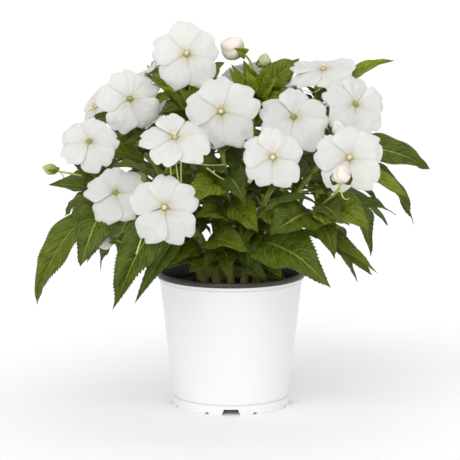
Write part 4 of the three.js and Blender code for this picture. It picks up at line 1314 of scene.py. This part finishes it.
# %% Small leaves over the rim, in the middle and among the highest flowers
LOW_LEAVES = {
    # as in LEAVES
    "front_middle": [
        (0.62, -37.8, -98, 204.3, 23, 1.3, -90, 0.12),
        (0.34, 15.4, -100, 164.4, 22, 1.4, -90, 0.14),
        (0.4, 12.8, -78, 148.6, 12, 0.9, -60, 0.1),
        (0.55, -9, -90, 182.9, 14, 1.2, -90, 0.1),
        (0.46, -4.5, -85, 180.3, 9, 0.8, -90, 0.2),
        (0.6, -9.9, -92, 186.9, 15, 1.2, -120, 0.1),
        (0.16, 34, -49, 122, 19, 1.7, -80, 0.3),
        (0.2, 22, -54, 126, 15, 1.2, -60, 0.3),
        (0.18, -24, -52, 125, 17, 1.2, -120, 0.3),
        (0.26, -24, -82, 141, 20, 1.9, -100, 0.14),
    ],
    "front_left": [
        (0.3, -81.7, -88, 150.4, 26, 1.7, -95, 0.12),
        (0.26, -60, -66, 142, 19, 1.6, -100, 0.14),
        (0.3, 2, -66, 138, 15, 1.5, -90, 0.3),
        (0.5, -60, -92, 172, 16, 1.1, -100, 0.1),
    ],
    "middle_right": [
        (0.14, 53, -30, 123, 18, 1.6, -70, 0.25),
        (0.24, 40, -52, 134, 15, 1.3, -50, 0.3),
        (0.5, 43.7, -88, 176.7, 27, 1.4, -90, 0.14),
    ],
    "low_right": [
        (0.9, 108.9, -105, 189.9, 16, 1.2, -80, 0.1),
        (0.86, 97.6, -104, 159.8, 17, 1.3, -90, 0.1),
        (0.74, 129.6, -96, 137.1, 13, 1.1, -90, 0.12),
        (0.14, 44, -60, 131, 14, 1.0, -60, 0.16),
    ],
    "top_middle": [
        (0.92, 8, -22, 305, 15, 1.3, -90, 0.1),
        (0.88, 14, -6, 316, 17, 1.4, -90, 0.1),
        (0.9, 23, -32, 300, 16, 1.3, -80, 0.1),
        (0.94, 34, -8, 324, 20, 1.5, -90, 0.1),
        (0.95, 45, -12, 312, 19, 1.4, -80, 0.12),
        (0.9, 4, -12, 325, 16, 1.3, -90, 0.1),
        (0.88, -5, -14, 320, 15, 1.3, -100, 0.12),
        (0.92, 12, -12, 321, 15, 1.3, -80, 0.12),
    ],
    "top_left": [
        (0.86, -76, -22, 318, 15, 1.3, -90, 0.1),
        (0.82, -61, -32, 300, 14, 1.3, -90, 0.1),
        (0.88, -68, -26, 309, 13, 1.2, -100, 0.12),
        (0.86, -51, -22, 306, 13, 1.2, -80, 0.1),
        (0.8, -66, -44, 282, 17, 1.3, -90, 0.12),
    ],
}

print(sum(len(rows) for rows in LOW_LEAVES.values()), "small leaves")

# %% Chance, and one leaf's spot
luck = np.random.default_rng(11)
SWEEP_MOST = 0.08
CURL_LEAST = 0.1


def leaf_spot(root, tip, width, lean, azimuth, arch, tone, curl=0.9):
    """A leaf's point: its side is square to its length and to the way its face leans."""
    az = math.radians(azimuth)
    facing = unit(vec(lean * math.cos(az), lean * math.sin(az), 1))
    chord = vec(*tip) - root
    length = np.linalg.norm(chord)
    side = unit(np.cross(chord / length, facing))
    return spot(
        root, chord / length, side, length, width / 2, arch,
        sweep=luck.uniform(-SWEEP_MOST, SWEEP_MOST), curl=luck.uniform(CURL_LEAST, curl), tone=tone,
    )


print("chance is seeded, so each run gives the same plant")

# %% Brighter greens high on the plant
BRIGHT_FROM = 240
BRIGHT_OVER = 90


def in_the_light(tip, tone):
    """Leaves high on the plant have the sky behind them, so their green is painted brighter: painted
    light.
    """
    return min(1.0, 0.75 * tone**2.5 + 0.6 * max(0.0, (tip[2] - BRIGHT_FROM) / BRIGHT_OVER))


print("tone of a high leaf:", round(in_the_light((0, 0, 300), 0.5), 2))

# %% Where a small leaf may stand
ALONG_A_LEAF = (0.3, 0.5, 0.7, 0.85, 1.0)
BEHIND_A_FLOWER, BEFORE_A_FLOWER, ROUND_A_FLOWER = 9, 70, 2
OVER_THE_POT, LOWEST_THERE, LOWEST_OUTSIDE = 82, 124, 150
BUSH_X, BUSH_Y, BUSH_Z = 128, 108, 95  # half the size of the bush
BUSH_MIDDLE_Z = 200
BARE_FROM_X, BARE_TO_X, BARE_BELOW_Z = 14, 76, 206


def clear_of_flowers(root, tip):
    """True for a leaf that neither crosses a flower nor hides its face."""
    for share in ALONG_A_LEAF:
        for _, _, middle, face, diameter, _ in BLOOMS.values():
            normal = head_frame(face)[0]
            away = root + (tip - root) * share - vec(*middle)
            depth = away @ normal
            beside = np.linalg.norm(away - normal * depth)
            if -BEHIND_A_FLOWER < depth < BEFORE_A_FLOWER and beside < diameter / 2 + ROUND_A_FLOWER:
                return False
    return True


def inside_the_bush(tip):
    """True within the plant's outline, above the pot, and out of the bare place in front."""
    x, y, z = tip
    low = LOWEST_THERE if math.hypot(x, y) < OVER_THE_POT else LOWEST_OUTSIDE
    egg = (x / BUSH_X) ** 2 + (y / BUSH_Y) ** 2 + ((z - BUSH_MIDDLE_Z) / BUSH_Z) ** 2
    bare = BARE_FROM_X < x < BARE_TO_X and y < 0 and z < BARE_BELOW_Z
    return z > low and egg < 1 and not bare


print("a leaf in the middle of the bush is inside:", inside_the_bush((0, 0, 200)))

# %% The leaves of a stem's rows
WIDE_LEAF = 27


def leaves_in_rows(name):
    """Two lists: the wide leaves, which get the finer pattern, and the narrow ones."""
    wide, narrow = [], []
    for t_at, x, y, z, width, lean, azimuth, arch in LEAVES[name] + LOW_LEAVES.get(name, []):
        tone = in_the_light((x, y, z), luck.uniform(0, 1))
        one = leaf_spot(stem_point(name, t_at), (x, y, z), width, lean, azimuth, arch, tone, curl=0.4)
        (wide if width >= WIDE_LEAF else narrow).append(one)
    return wide, narrow


print("wide leaves:", sum(row[4] >= WIDE_LEAF for rows in LEAVES.values() for row in rows))

# %% Whorls up the stem
TURN_BETWEEN_LEAVES = 137.5
WHORL = 2
WHORLS_FROM, WHORLS_TO, WHORL_STEP = 0.34, 0.97, 0.09
WHORL_RISE = (-30, 38)
WHORL_LENGTH = (30, 56)
WHORL_WIDTH = (0.36, 0.52)  # of the length
WHORL_ARCH = (0.06, 0.22)


def leaves_in_whorls(name):
    """Small leaves up the stem, shorter towards its tip. One that hangs turns its face out."""
    grown = []
    az = luck.uniform(0, 360)
    for t_at in np.arange(WHORLS_FROM, WHORLS_TO, WHORL_STEP):
        for _ in range(WHORL):
            az += TURN_BETWEEN_LEAVES
            el = math.radians(luck.uniform(*WHORL_RISE))
            root = stem_point(name, t_at)
            length = luck.uniform(*WHORL_LENGTH) * (1 - 0.3 * t_at)
            end = root + pointing(math.radians(az), el) * length
            width = length * luck.uniform(*WHORL_WIDTH)
            lean = 0.5 + max(0.0, -el) * 2.4
            tone = in_the_light(end, luck.uniform(0, 0.9))
            if inside_the_bush(end) and clear_of_flowers(root, end):
                grown.append(leaf_spot(root, end, width, lean, az, luck.uniform(*WHORL_ARCH), tone))
    return grown


print("places for whorls on a stem:", len(np.arange(WHORLS_FROM, WHORLS_TO, WHORL_STEP)))

# %% The tuft of young leaves at a stem's tip
YOUNG_COUNT = 5


def young_leaves(name):
    """Each is shorter, narrower and more upright than the one before."""
    grown = []
    tip = stem_point(name, 1.0)
    first = luck.uniform(0, 360)
    for k in range(YOUNG_COUNT):
        az = math.radians(first + TURN_BETWEEN_LEAVES * k)
        end = tip + pointing(az, math.radians(28 + 9 * k)) * (30 - 4 * k)
        young = leaf_spot(tip, end, 11 - k, 0.4, math.degrees(az), 0.1, luck.uniform(0.5, 1))
        if clear_of_flowers(tip, end):
            grown.append(young)
    return grown


print("young leaves at each tip, at most:", YOUNG_COUNT)

# %% Grow the leaves of every stem
LEAF_UNREST = (0.85, 1.7, 0.2)  # ruffle, grain, wobble
for name in STEMS:
    wide, narrow = leaves_in_rows(name)
    narrow += leaves_in_whorls(name)
    narrow += young_leaves(name)
    parts = [grow_sheets("narrow", narrow, small_leaf, leaf_finish, *LEAF_UNREST)]
    if wide:
        parts.append(grow_sheets("wide", wide, big_leaf, leaf_finish, *LEAF_UNREST))
    leaves = joined("leaves_" + name, parts)
    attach(leaves, "root")
    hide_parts("leafy_stem_" + name)
print("leaf faces:", faces_named("leaves_"))

# %% [markdown]
# ## The stems, with their stalks and spurs
#
# All that is round and green on a stem is swept in one go, so it is one piece. A few stalks stand
# bare, because their flowers have dropped. They are thin and sag a little.

# %% Bare stalks
OLD_STALKS = {
    # where each starts and ends
    "front_middle": [
        ((-4.5, -60, 236), (-41.2, -104, 247.8)),
        ((9.2, -60, 217.9), (-21.5, -104, 238.8)),
    ],
    "front_left": [
        ((-74, -118, 201), (-84.4, -138, 166.3)),
        ((-53.2, -92, 222.5), (-54.8, -100, 242.7)),
        ((-46.9, -92, 222.5), (-49.4, -100, 242.7)),
        ((-45.1, -90, 220.4), (-44.8, -104, 246)),
    ],
}


def thread_path(start, end):
    """A thin stalk that sags a little on its way."""
    a, b = vec(*start), vec(*end)
    sag = vec(0, 0, -0.06 * np.linalg.norm(b - a))
    steps = np.linspace(0, 1, STALK_STEPS + 1)
    return [(a + (b - a) * t + sag * math.sin(math.pi * t), 0.8 - 0.2 * t, 1.6, 0) for t in steps]


print("bare stalks:", sum(len(ends) for ends in OLD_STALKS.values()))

# %% Sweep the stems, with the stalks of their flowers
TUBE_SIDES = 12
BLOOM_BACK = 3.0
BLOOM_SPUR = 34
BUD_SPUR = 1.4  # of the bud's length
BUD_SPUR_SAG = 0.9
SPUR_SAG = (0.5, 1.0)
SPUR_TWIST = (-0.4, 0.4)
for name in STEMS:
    paths = [stem_path(name)]
    for stem, from_t, middle, face, _, _ in BLOOMS.values():
        if stem == name:
            paths.append(stalk_path(stem, from_t, middle, face, BLOOM_BACK))
            sag, twist = luck.uniform(*SPUR_SAG), luck.uniform(*SPUR_TWIST)
            paths.append(spur_path(middle, face, BLOOM_BACK, BLOOM_SPUR, sag, twist))
    for bud, (stem, from_t, middle, face, length, _) in BUDS.items():
        if stem == name:
            lift = FLAT_BUD_LIFT if bud == "front_right" else STALK_LIFT
            paths.append(stalk_path(stem, from_t, middle, face, length / 2, lift))
            twist = luck.uniform(*SPUR_TWIST)
            paths.append(spur_path(middle, face, length / 2 - 1, BUD_SPUR * length, BUD_SPUR_SAG, twist))
    paths += [thread_path(*ends) for ends in OLD_STALKS.get(name, [])]
    lines = path_object("paths_" + name, paths)
    stems = run_tree("stem_" + name, lines, tube_tree, Sides=TUBE_SIDES, Finish=stem_finish)
    bpy.data.objects.remove(lines)
    stems.data.attributes.remove(stems.data.attributes["thick"])
    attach(stems, "root")
    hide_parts("leafy_stem_" + name)
print("stem faces:", faces_named("stem_"))

# %% [markdown]
# ## The petals' finish
#
# The petals are a soft white, a little cream, and so thin that light passes through them.
# Fine ridges run out from the throat, which is touched with yellow and rose.
# Subsurface scattering and a share of light that passes right through give the thin petals their
# glow. It costs some render time, but a plain diffuse white would look like paper.

# %% The fine ridges of a petal
petal_finish, tree, shader = new_finish(
    "white_petal", Specular_IOR_Level=0.2, Sheen_Weight=0.06, Subsurface_Weight=0.3,
    Subsurface_Scale=0.003, Subsurface_Radius=(1.0, 0.97, 0.88),
)
chart = leaf_map(tree)
far = part_of(chart, "y")
fan = (part_of(chart, "x") - 0.5) * 2.0
place = object_place(tree)
cloud = noise(place, 45.0, detail=3.0)
tone = carried(tree, "tone")
joined_map = put(tree, "ShaderNodeCombineXYZ", {0: fan * 9.0, 1: far * 1.2, 2: tone * 7.0})
ridges = noise(Wire(tree, joined_map.outputs[0]), 2.4, detail=4.0, roughness=0.6)
print("ridge nodes:", len(tree.nodes))

# %% Petal finish
white = mix_colour(cloud, rgb(0.90, 0.895, 0.865), rgb(0.94, 0.94, 0.92))
white = mix_colour(smooth(ridges, 0.45, 0.75) * 0.4, white, rgb(0.80, 0.79, 0.75))
throat = smooth(far, 0.36, 0.12) * smooth(ridges, 0.3, 0.65)
white = mix_colour(throat * 0.75, white, rgb(0.80, 0.66, 0.34))
blush = smooth(far, 0.26, 0.1) * smooth(ridges, 0.55, 0.7)
white = mix_colour(blush * 0.5, white, rgb(0.72, 0.38, 0.25))
dress(
    shader,
    Base_Color=mix_colour(smooth(far, 0.13, 0.07), white, rgb(0.30, 0.38, 0.08)),
    Roughness=ridges * 0.15 + 0.5,
    Normal=bump(ridges, 0.7, 0.8),
)
let_light_through(petal_finish, shader, 0.4, rgb(0.95, 0.95, 0.93))
print("petal finish:", len(tree.nodes), "nodes")

# %% [markdown]
# ## A petal's pattern
#
# A petal is a heart on a narrow claw. It could be drawn by hand, but one formula is easier to set
# right: the outline is a row of half widths, the far end has a notch, and the surface is hollow
# with a crease in the middle and shallow pleats. A slight twist lets each petal slide under its
# neighbour.

# %% The outline of a petal
PETAL_ROWS = 19
PETAL_COLUMNS = 17
PETAL_START = 0.04
PETAL_EDGE = 0.985


def petal_half(r):
    """The half width of a petal at a distance from the flower's middle."""
    return np.interp(
        r, [0.04, 0.15, 0.3, 0.42, 0.55, 0.68, 0.8, 0.9, 1.0],
        [0.03, 0.105, 0.235, 0.35, 0.46, 0.525, 0.53, 0.48, 0.40],
    )


a = np.concatenate([[-1], np.linspace(-PETAL_EDGE, PETAL_EDGE, PETAL_COLUMNS), [1]])
r = np.append(np.linspace(PETAL_START, PETAL_EDGE, PETAL_ROWS), 1)
grid_a, grid_r = np.meshgrid(a, r)
reach = np.abs(grid_a)
notch = 0.085 * np.exp(-((reach / 0.16) ** 2))
end = PETAL_EDGE - notch - 0.17 * reach**3
out = PETAL_START + (grid_r - PETAL_START) * end / 0.96
across = grid_a * petal_half(grid_r)
print("widest place of a petal:", round(2 * across.max(), 3), "of its length")

# %% Cut the petal pattern
PETAL_TWIST = math.tan(math.radians(5))
PETAL_HALF_THICKNESS = 0.25
cup = 0.23 * out * (1 - 1.1 * out) - across * PETAL_TWIST
crease = -0.02 * np.exp(-((grid_a / 0.12) ** 2)) * np.sin(np.pi * np.clip(grid_r, 0, 1))
pleat = 0.015 * np.cos(np.pi * 3.3 * grid_a) * np.sin(np.pi * np.clip(grid_r * 1.05, 0, 1))
roll_back = -0.1 * reach**3 * np.clip(grid_r - 0.35, 0, 1)
petal_place = np.stack([across, out, cup + crease + pleat + roll_back], -1)
far_edge = np.sqrt(np.clip(1 - grid_r**40, 0, 1) + 1e-9)
petal_raise = PETAL_HALF_THICKNESS * np.sqrt(1 - reach**40) * far_edge
petal_chart = np.stack([0.5 + 0.5 * grid_a, grid_r], -1)
petal_cut = sheet_pattern("petal", petal_place, petal_raise, petal_chart, pointed=False)
print("petal pattern:", len(petal_cut.data.polygons), "faces")

# %% [markdown]
# ## The heart of a flower
#
# In the throat stands a small curved column, which is the stamens grown together, cream with a
# rosy tip. A low green collar rings its foot. In an older flower the column has dropped off, and only
# the green tip of the young fruit is left. Either is one turned, closed shape.

# %% Finish of the column
column_finish, tree, shader = new_finish(
    "cream_column", Subsurface_Weight=0.2, Subsurface_Scale=0.002, Specular_IOR_Level=0.4
)
speck = noise(object_place(tree), 700.0, detail=3.0)
dress(
    shader,
    Base_Color=mix_colour(smooth(speck, 0.4, 0.65), rgb(0.82, 0.72, 0.52), rgb(0.72, 0.45, 0.33)),
    Roughness=speck * 0.2 + 0.5,
    Normal=bump(speck, 0.5, 0.3),
)
print("column finish:", len(tree.nodes), "nodes")

# %% Finish of the green collar
collar_finish, tree, shader = new_finish("green_collar", Specular_IOR_Level=0.4)
speck = noise(object_place(tree), 500.0, detail=3.0)
dress(
    shader,
    Base_Color=mix_colour(speck, rgb(0.24, 0.32, 0.05), rgb(0.45, 0.50, 0.16)),
    Roughness=speck * 0.2 + 0.45,
    Normal=bump(speck, 0.4, 0.3),
)
print("collar finish:", len(tree.nodes), "nodes")


# %% Rings round a flower's or bud's own axis
def head_rings(middle, face, shape, sides, wobble=None):
    """Rings round the line through a flower or bud. `shape` is (forward, radius) in millimetres."""
    normal, right, up = head_frame(face)
    rings = []
    for forward, radius in shape:
        level = []
        for k in range(sides):
            turn = 2 * math.pi * k / sides
            r = radius * (1 + (wobble(turn, forward) if wobble else 0))
            point = vec(*middle) + normal * forward + (right * math.cos(turn) + up * math.sin(turn)) * r
            level.append(tuple(point * MM))
        rings.append(level)
    return rings


print("rings of a cone:", len(head_rings((0, 0, 0), (0, 0), [(0, 1), (1, 0)], 8)))

# %% The shapes of the heart
HEART_SIDES = 16
HEART = [
    (-3.2, 0), (-3.0, 1.2), (-1.5, 2.6), (0.2, 3.1), (1.4, 3.0), (1.9, 2.5), (1.6, 1.8), (1.8, 1.3),
    (3.4, 1.35), (4.8, 1.9), (5.8, 1.95), (6.6, 1.3), (6.8, 0),
]
HEART_BANDS = [0] * 6 + [1] * 6
OLD_HEART = [
    (-3.2, 0), (-3.0, 1.2), (-1.5, 2.0), (0.4, 2.2), (1.4, 1.9), (2.6, 1.5), (4.2, 1.1), (5.4, 0.5),
    (5.8, 0),
]
OLDER = {"upper_left", "left", "low_left", "upper_right", "far_right", "top_behind", "back_left_low"}
print("flowers without their column:", len(OLDER))

# %% [markdown]
# ## The flowers
#
# A flower has five petals, all from the one pattern. The upper one is the smallest and the two
# lower ones are the largest. Each gets its own small turn, tilt, width and curl by chance, since
# no two petals of a real flower are alike.

# %% The petals of one flower
PETAL_SIZES = (0.92, 0.97, 1.06, 1.06, 0.97)
PETAL_SWING = (-5, 5)
PETAL_TILT = (-0.2, 0.1)
PETAL_LENGTH = (0.96, 1.02)
PETAL_WIDTH = (0.84, 1.03)
PETAL_CURL = (-0.3, 0.9)


def petal_spots(middle, face, diameter, roll):
    """Five spots round the middle, with the small upper petal first."""
    normal, right, up = head_frame(face)
    petals = []
    for k, share in enumerate(PETAL_SIZES):
        turn = math.radians(90 + roll + 360 / len(PETAL_SIZES) * k + luck.uniform(*PETAL_SWING))
        tilt = luck.uniform(*PETAL_TILT)
        out = unit(right * math.cos(turn) + up * math.sin(turn) + normal * tilt)
        side = unit(np.cross(out, normal))
        length = diameter / 2 * share * luck.uniform(*PETAL_LENGTH)
        half = length * luck.uniform(*PETAL_WIDTH)
        curl, tone = luck.uniform(*PETAL_CURL), luck.uniform(0, 1)
        petals.append(spot(vec(*middle), out, side, length, half, curl=curl, tone=tone))
    return petals


print("petals of a flower:", len(PETAL_SIZES))

# %% Grow the flowers
PETAL_UNREST = (0.26, 3.0, 0.3)  # ruffle, grain, wobble
for name, (_, _, middle, face, diameter, roll) in BLOOMS.items():
    petals = petal_spots(middle, face, diameter, roll)
    sheets = grow_sheets("petals", petals, petal_cut, petal_finish, *PETAL_UNREST)
    if name in OLDER:
        rings = head_rings(middle, face, OLD_HEART, HEART_SIDES)
        heart = skin_of_rings("heart", rings, [collar_finish])
    else:
        rings = head_rings(middle, face, HEART, HEART_SIDES)
        heart = skin_of_rings("heart", rings, [collar_finish, column_finish], HEART_BANDS)
    flower = joined("flower_" + name, [sheets, heart])
    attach(flower, "root")
    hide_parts("bloom_" + name)
print("flower faces:", faces_named("flower_"))

# %% [markdown]
# ## The buds
#
# A bud is a drop of furled petals. Shallow furrows wind round it, where one petal lies over the
# next. It is greenish at the base and cream at the tip, and two small green sepals hold it.

# %% Bud finish
bud_finish, tree, shader = new_finish(
    "furled_petals", Specular_IOR_Level=0.25, Subsurface_Weight=0.2, Subsurface_Scale=0.003,
    Subsurface_Radius=(1.0, 0.9, 0.8),
)
opening = carried(tree, "opening")
fine = noise(object_place(tree), 240.0, detail=4.0, roughness=0.6)
pale = mix_colour(fine, rgb(0.78, 0.68, 0.62), rgb(0.85, 0.80, 0.76))
green = mix_colour(fine, rgb(0.24, 0.30, 0.05), rgb(0.42, 0.46, 0.12))
seam = smooth(carried(tree, "furrow"), 0.1, 1.0)
pale = mix_colour(seam * 0.6, pale, rgb(0.62, 0.55, 0.33))
dress(
    shader,
    Base_Color=mix_colour(opening, green, pale),
    Roughness=fine * 0.15 + 0.42,
    Normal=bump(fine, 0.4, 0.4),
)
print("bud finish:", len(tree.nodes), "nodes")

# %% Grow the buds
BUD_SHAPE = [
    (0, 0), (0.01, 0.2), (0.08, 0.5), (0.2, 0.8), (0.35, 0.96), (0.5, 1.0), (0.65, 0.87), (0.78, 0.66),
    (0.89, 0.4), (0.97, 0.17), (1, 0),
]
BUD_LEVELS = 26
BUD_SIDES = 60
FURROW_DEPTH = 0.09  # of the bud's radius
FURROWS_WIND = 0.9 * math.pi
GREEN_BUDS = {"left": 0.15, "inner_left": 0.1, "small": 0.35}
for name, (_, _, middle, face, length, width) in BUDS.items():
    levels = np.sin(np.linspace(-math.pi / 2, math.pi / 2, BUD_LEVELS)) / 2 + 0.5
    radii = np.interp(levels, *zip(*BUD_SHAPE)) * width / 2
    shape = list(zip(length * (levels - 0.5), radii))
    winding = FURROWS_WIND / length

    def furrow_at(turn, forward):
        """1 in the furrow where one furled petal lies over the next, and 0 away from it."""
        return abs(math.cos(1.5 * (turn + winding * forward))) ** 9

    rings = head_rings(
        middle, face, shape, BUD_SIDES, lambda turn, forward: -FURROW_DEPTH * furrow_at(turn, forward)
    )
    bud = skin_of_rings("bud_" + name + "_petals", rings, [bud_finish])
    normal, right, up = head_frame(face)
    open_share = GREEN_BUDS.get(name, 1.0)
    openings, furrows = [], []
    for v in bud.data.vertices:
        away = np.array(v.co) / MM - vec(*middle)
        forward = away @ normal
        turn = math.atan2(away @ up, away @ right)
        openings.append(min(1, max(0, (forward / length + 0.42) / 0.4)) * open_share)
        furrows.append(furrow_at(turn, forward))
    carry(bud.data, "opening", openings)
    carry(bud.data, "furrow", furrows)
    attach(bud, "root")
    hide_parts("bud_" + name)

# %% [markdown]
# ## The sepals
#
# Two small green sepals stand behind each flower, and two clasp each bud. They are small leaves, so
# the small leaf pattern and the leaf finish make them, without ruffle or wobble.

# %% Sepals behind the flowers
SEPAL_BACK = 3.2
SEPAL_LENGTH = 8
SEPAL_HALF = 2.2
sepals = []
for _, _, middle, face, _, _ in BLOOMS.values():
    normal, right, _ = head_frame(face)
    base = vec(*middle) - normal * SEPAL_BACK
    for hand in (-1, 1):
        aim = unit(right * hand - normal * 0.35)
        sepals.append(spot(base, aim, np.cross(aim, normal), SEPAL_LENGTH, SEPAL_HALF, 0.05, tone=0.9))
print("sepals behind flowers:", len(sepals))

# %% Sepals round the buds
CLASP_LENGTH = 0.72  # of the bud's length
CLASP_HALF = 0.22  # of the bud's width
for _, _, middle, face, length, width in BUDS.values():
    normal, right, _ = head_frame(face)
    base = vec(*middle) - normal * (length / 2)
    for hand in (-1, 1):
        aim = unit(normal + right * hand * 0.72)
        side = unit(np.cross(aim, right * hand))
        sepals.append(spot(base, aim, side, length * CLASP_LENGTH, width * CLASP_HALF, 0.35, tone=1.0))
calyx = grow_sheets("sepals", sepals, small_leaf, leaf_finish, 0.0, 1.0, 0.0)
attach(calyx, "root")
for cut_pattern in (big_leaf, small_leaf, petal_cut):
    bpy.data.objects.remove(cut_pattern)
print("sepals:", len(sepals))

# %% [markdown]
# ## The table and the light
#
# The photo is a bright studio picture on white. A wide pale floor, a white surrounding and large
# soft lights give the same: hardly any shadow, and a gentle shade under the leaves.

# %% Floor finish
floor_finish, tree, shader = new_finish("pale_floor", Specular_IOR_Level=0.2)
place = object_place(tree)
cloud = noise(place, 3.0)
# Painted light and shade: the floor is painted a little darker towards the front and lighter towards the
# back.
far = smooth(part_of(place, "y") + cloud * 0.05, -0.5, 1.2)
dress(
    shader,
    Base_Color=mix_colour(far, rgb(0.955, 0.955, 0.955), rgb(0.99, 0.99, 0.99)),
    Roughness=cloud * 0.1 + 0.7,
)
print("floor finish:", len(tree.nodes), "nodes")

# %% The floor
FLOOR_HALF = 14.0
floor_mesh = bpy.data.meshes.new("floor")
corners = [(-1, -1), (1, -1), (1, 1), (-1, 1)]
floor_mesh.from_pydata([(x * FLOOR_HALF, y * FLOOR_HALF, 0) for x, y in corners], [], [(0, 1, 2, 3)])
floor_mesh.materials.append(floor_finish)
floor = show("floor", floor_mesh)
print("floor:", FLOOR_HALF * 2, "m across")


# %% Soft lights

def soft_light(name, strength, spread, place):
    """A far, wide light that reaches the object and the whole floor evenly."""
    data = bpy.data.lights.new(name, "SUN")
    data.energy = strength
    data.angle = math.radians(spread)
    lamp = bpy.data.objects.new(name, data)
    lamp.location = place
    lamp.rotation_euler = (-Vector(place)).to_track_quat("-Z", "Y").to_euler()
    bpy.context.scene.collection.objects.link(lamp)


soft_light("key", 1.38, 60, (-1.1, -2.3, 1.7))
soft_light("fill", 0.75, 90, (1.8, -2.0, 0.9))
soft_light("back", 0.75, 90, (0.5, 1.8, 2.0))

# %% The white surroundings
SKY_STRENGTH = 0.6
world = bpy.data.worlds.new("studio")
world.use_nodes = True
world.node_tree.nodes["Background"].inputs[0].default_value = rgb(1, 1, 1)
world.node_tree.nodes["Background"].inputs[1].default_value = SKY_STRENGTH
bpy.context.scene.world = world
bpy.context.scene.view_settings.view_transform = "Standard"
print("sky strength:", SKY_STRENGTH)
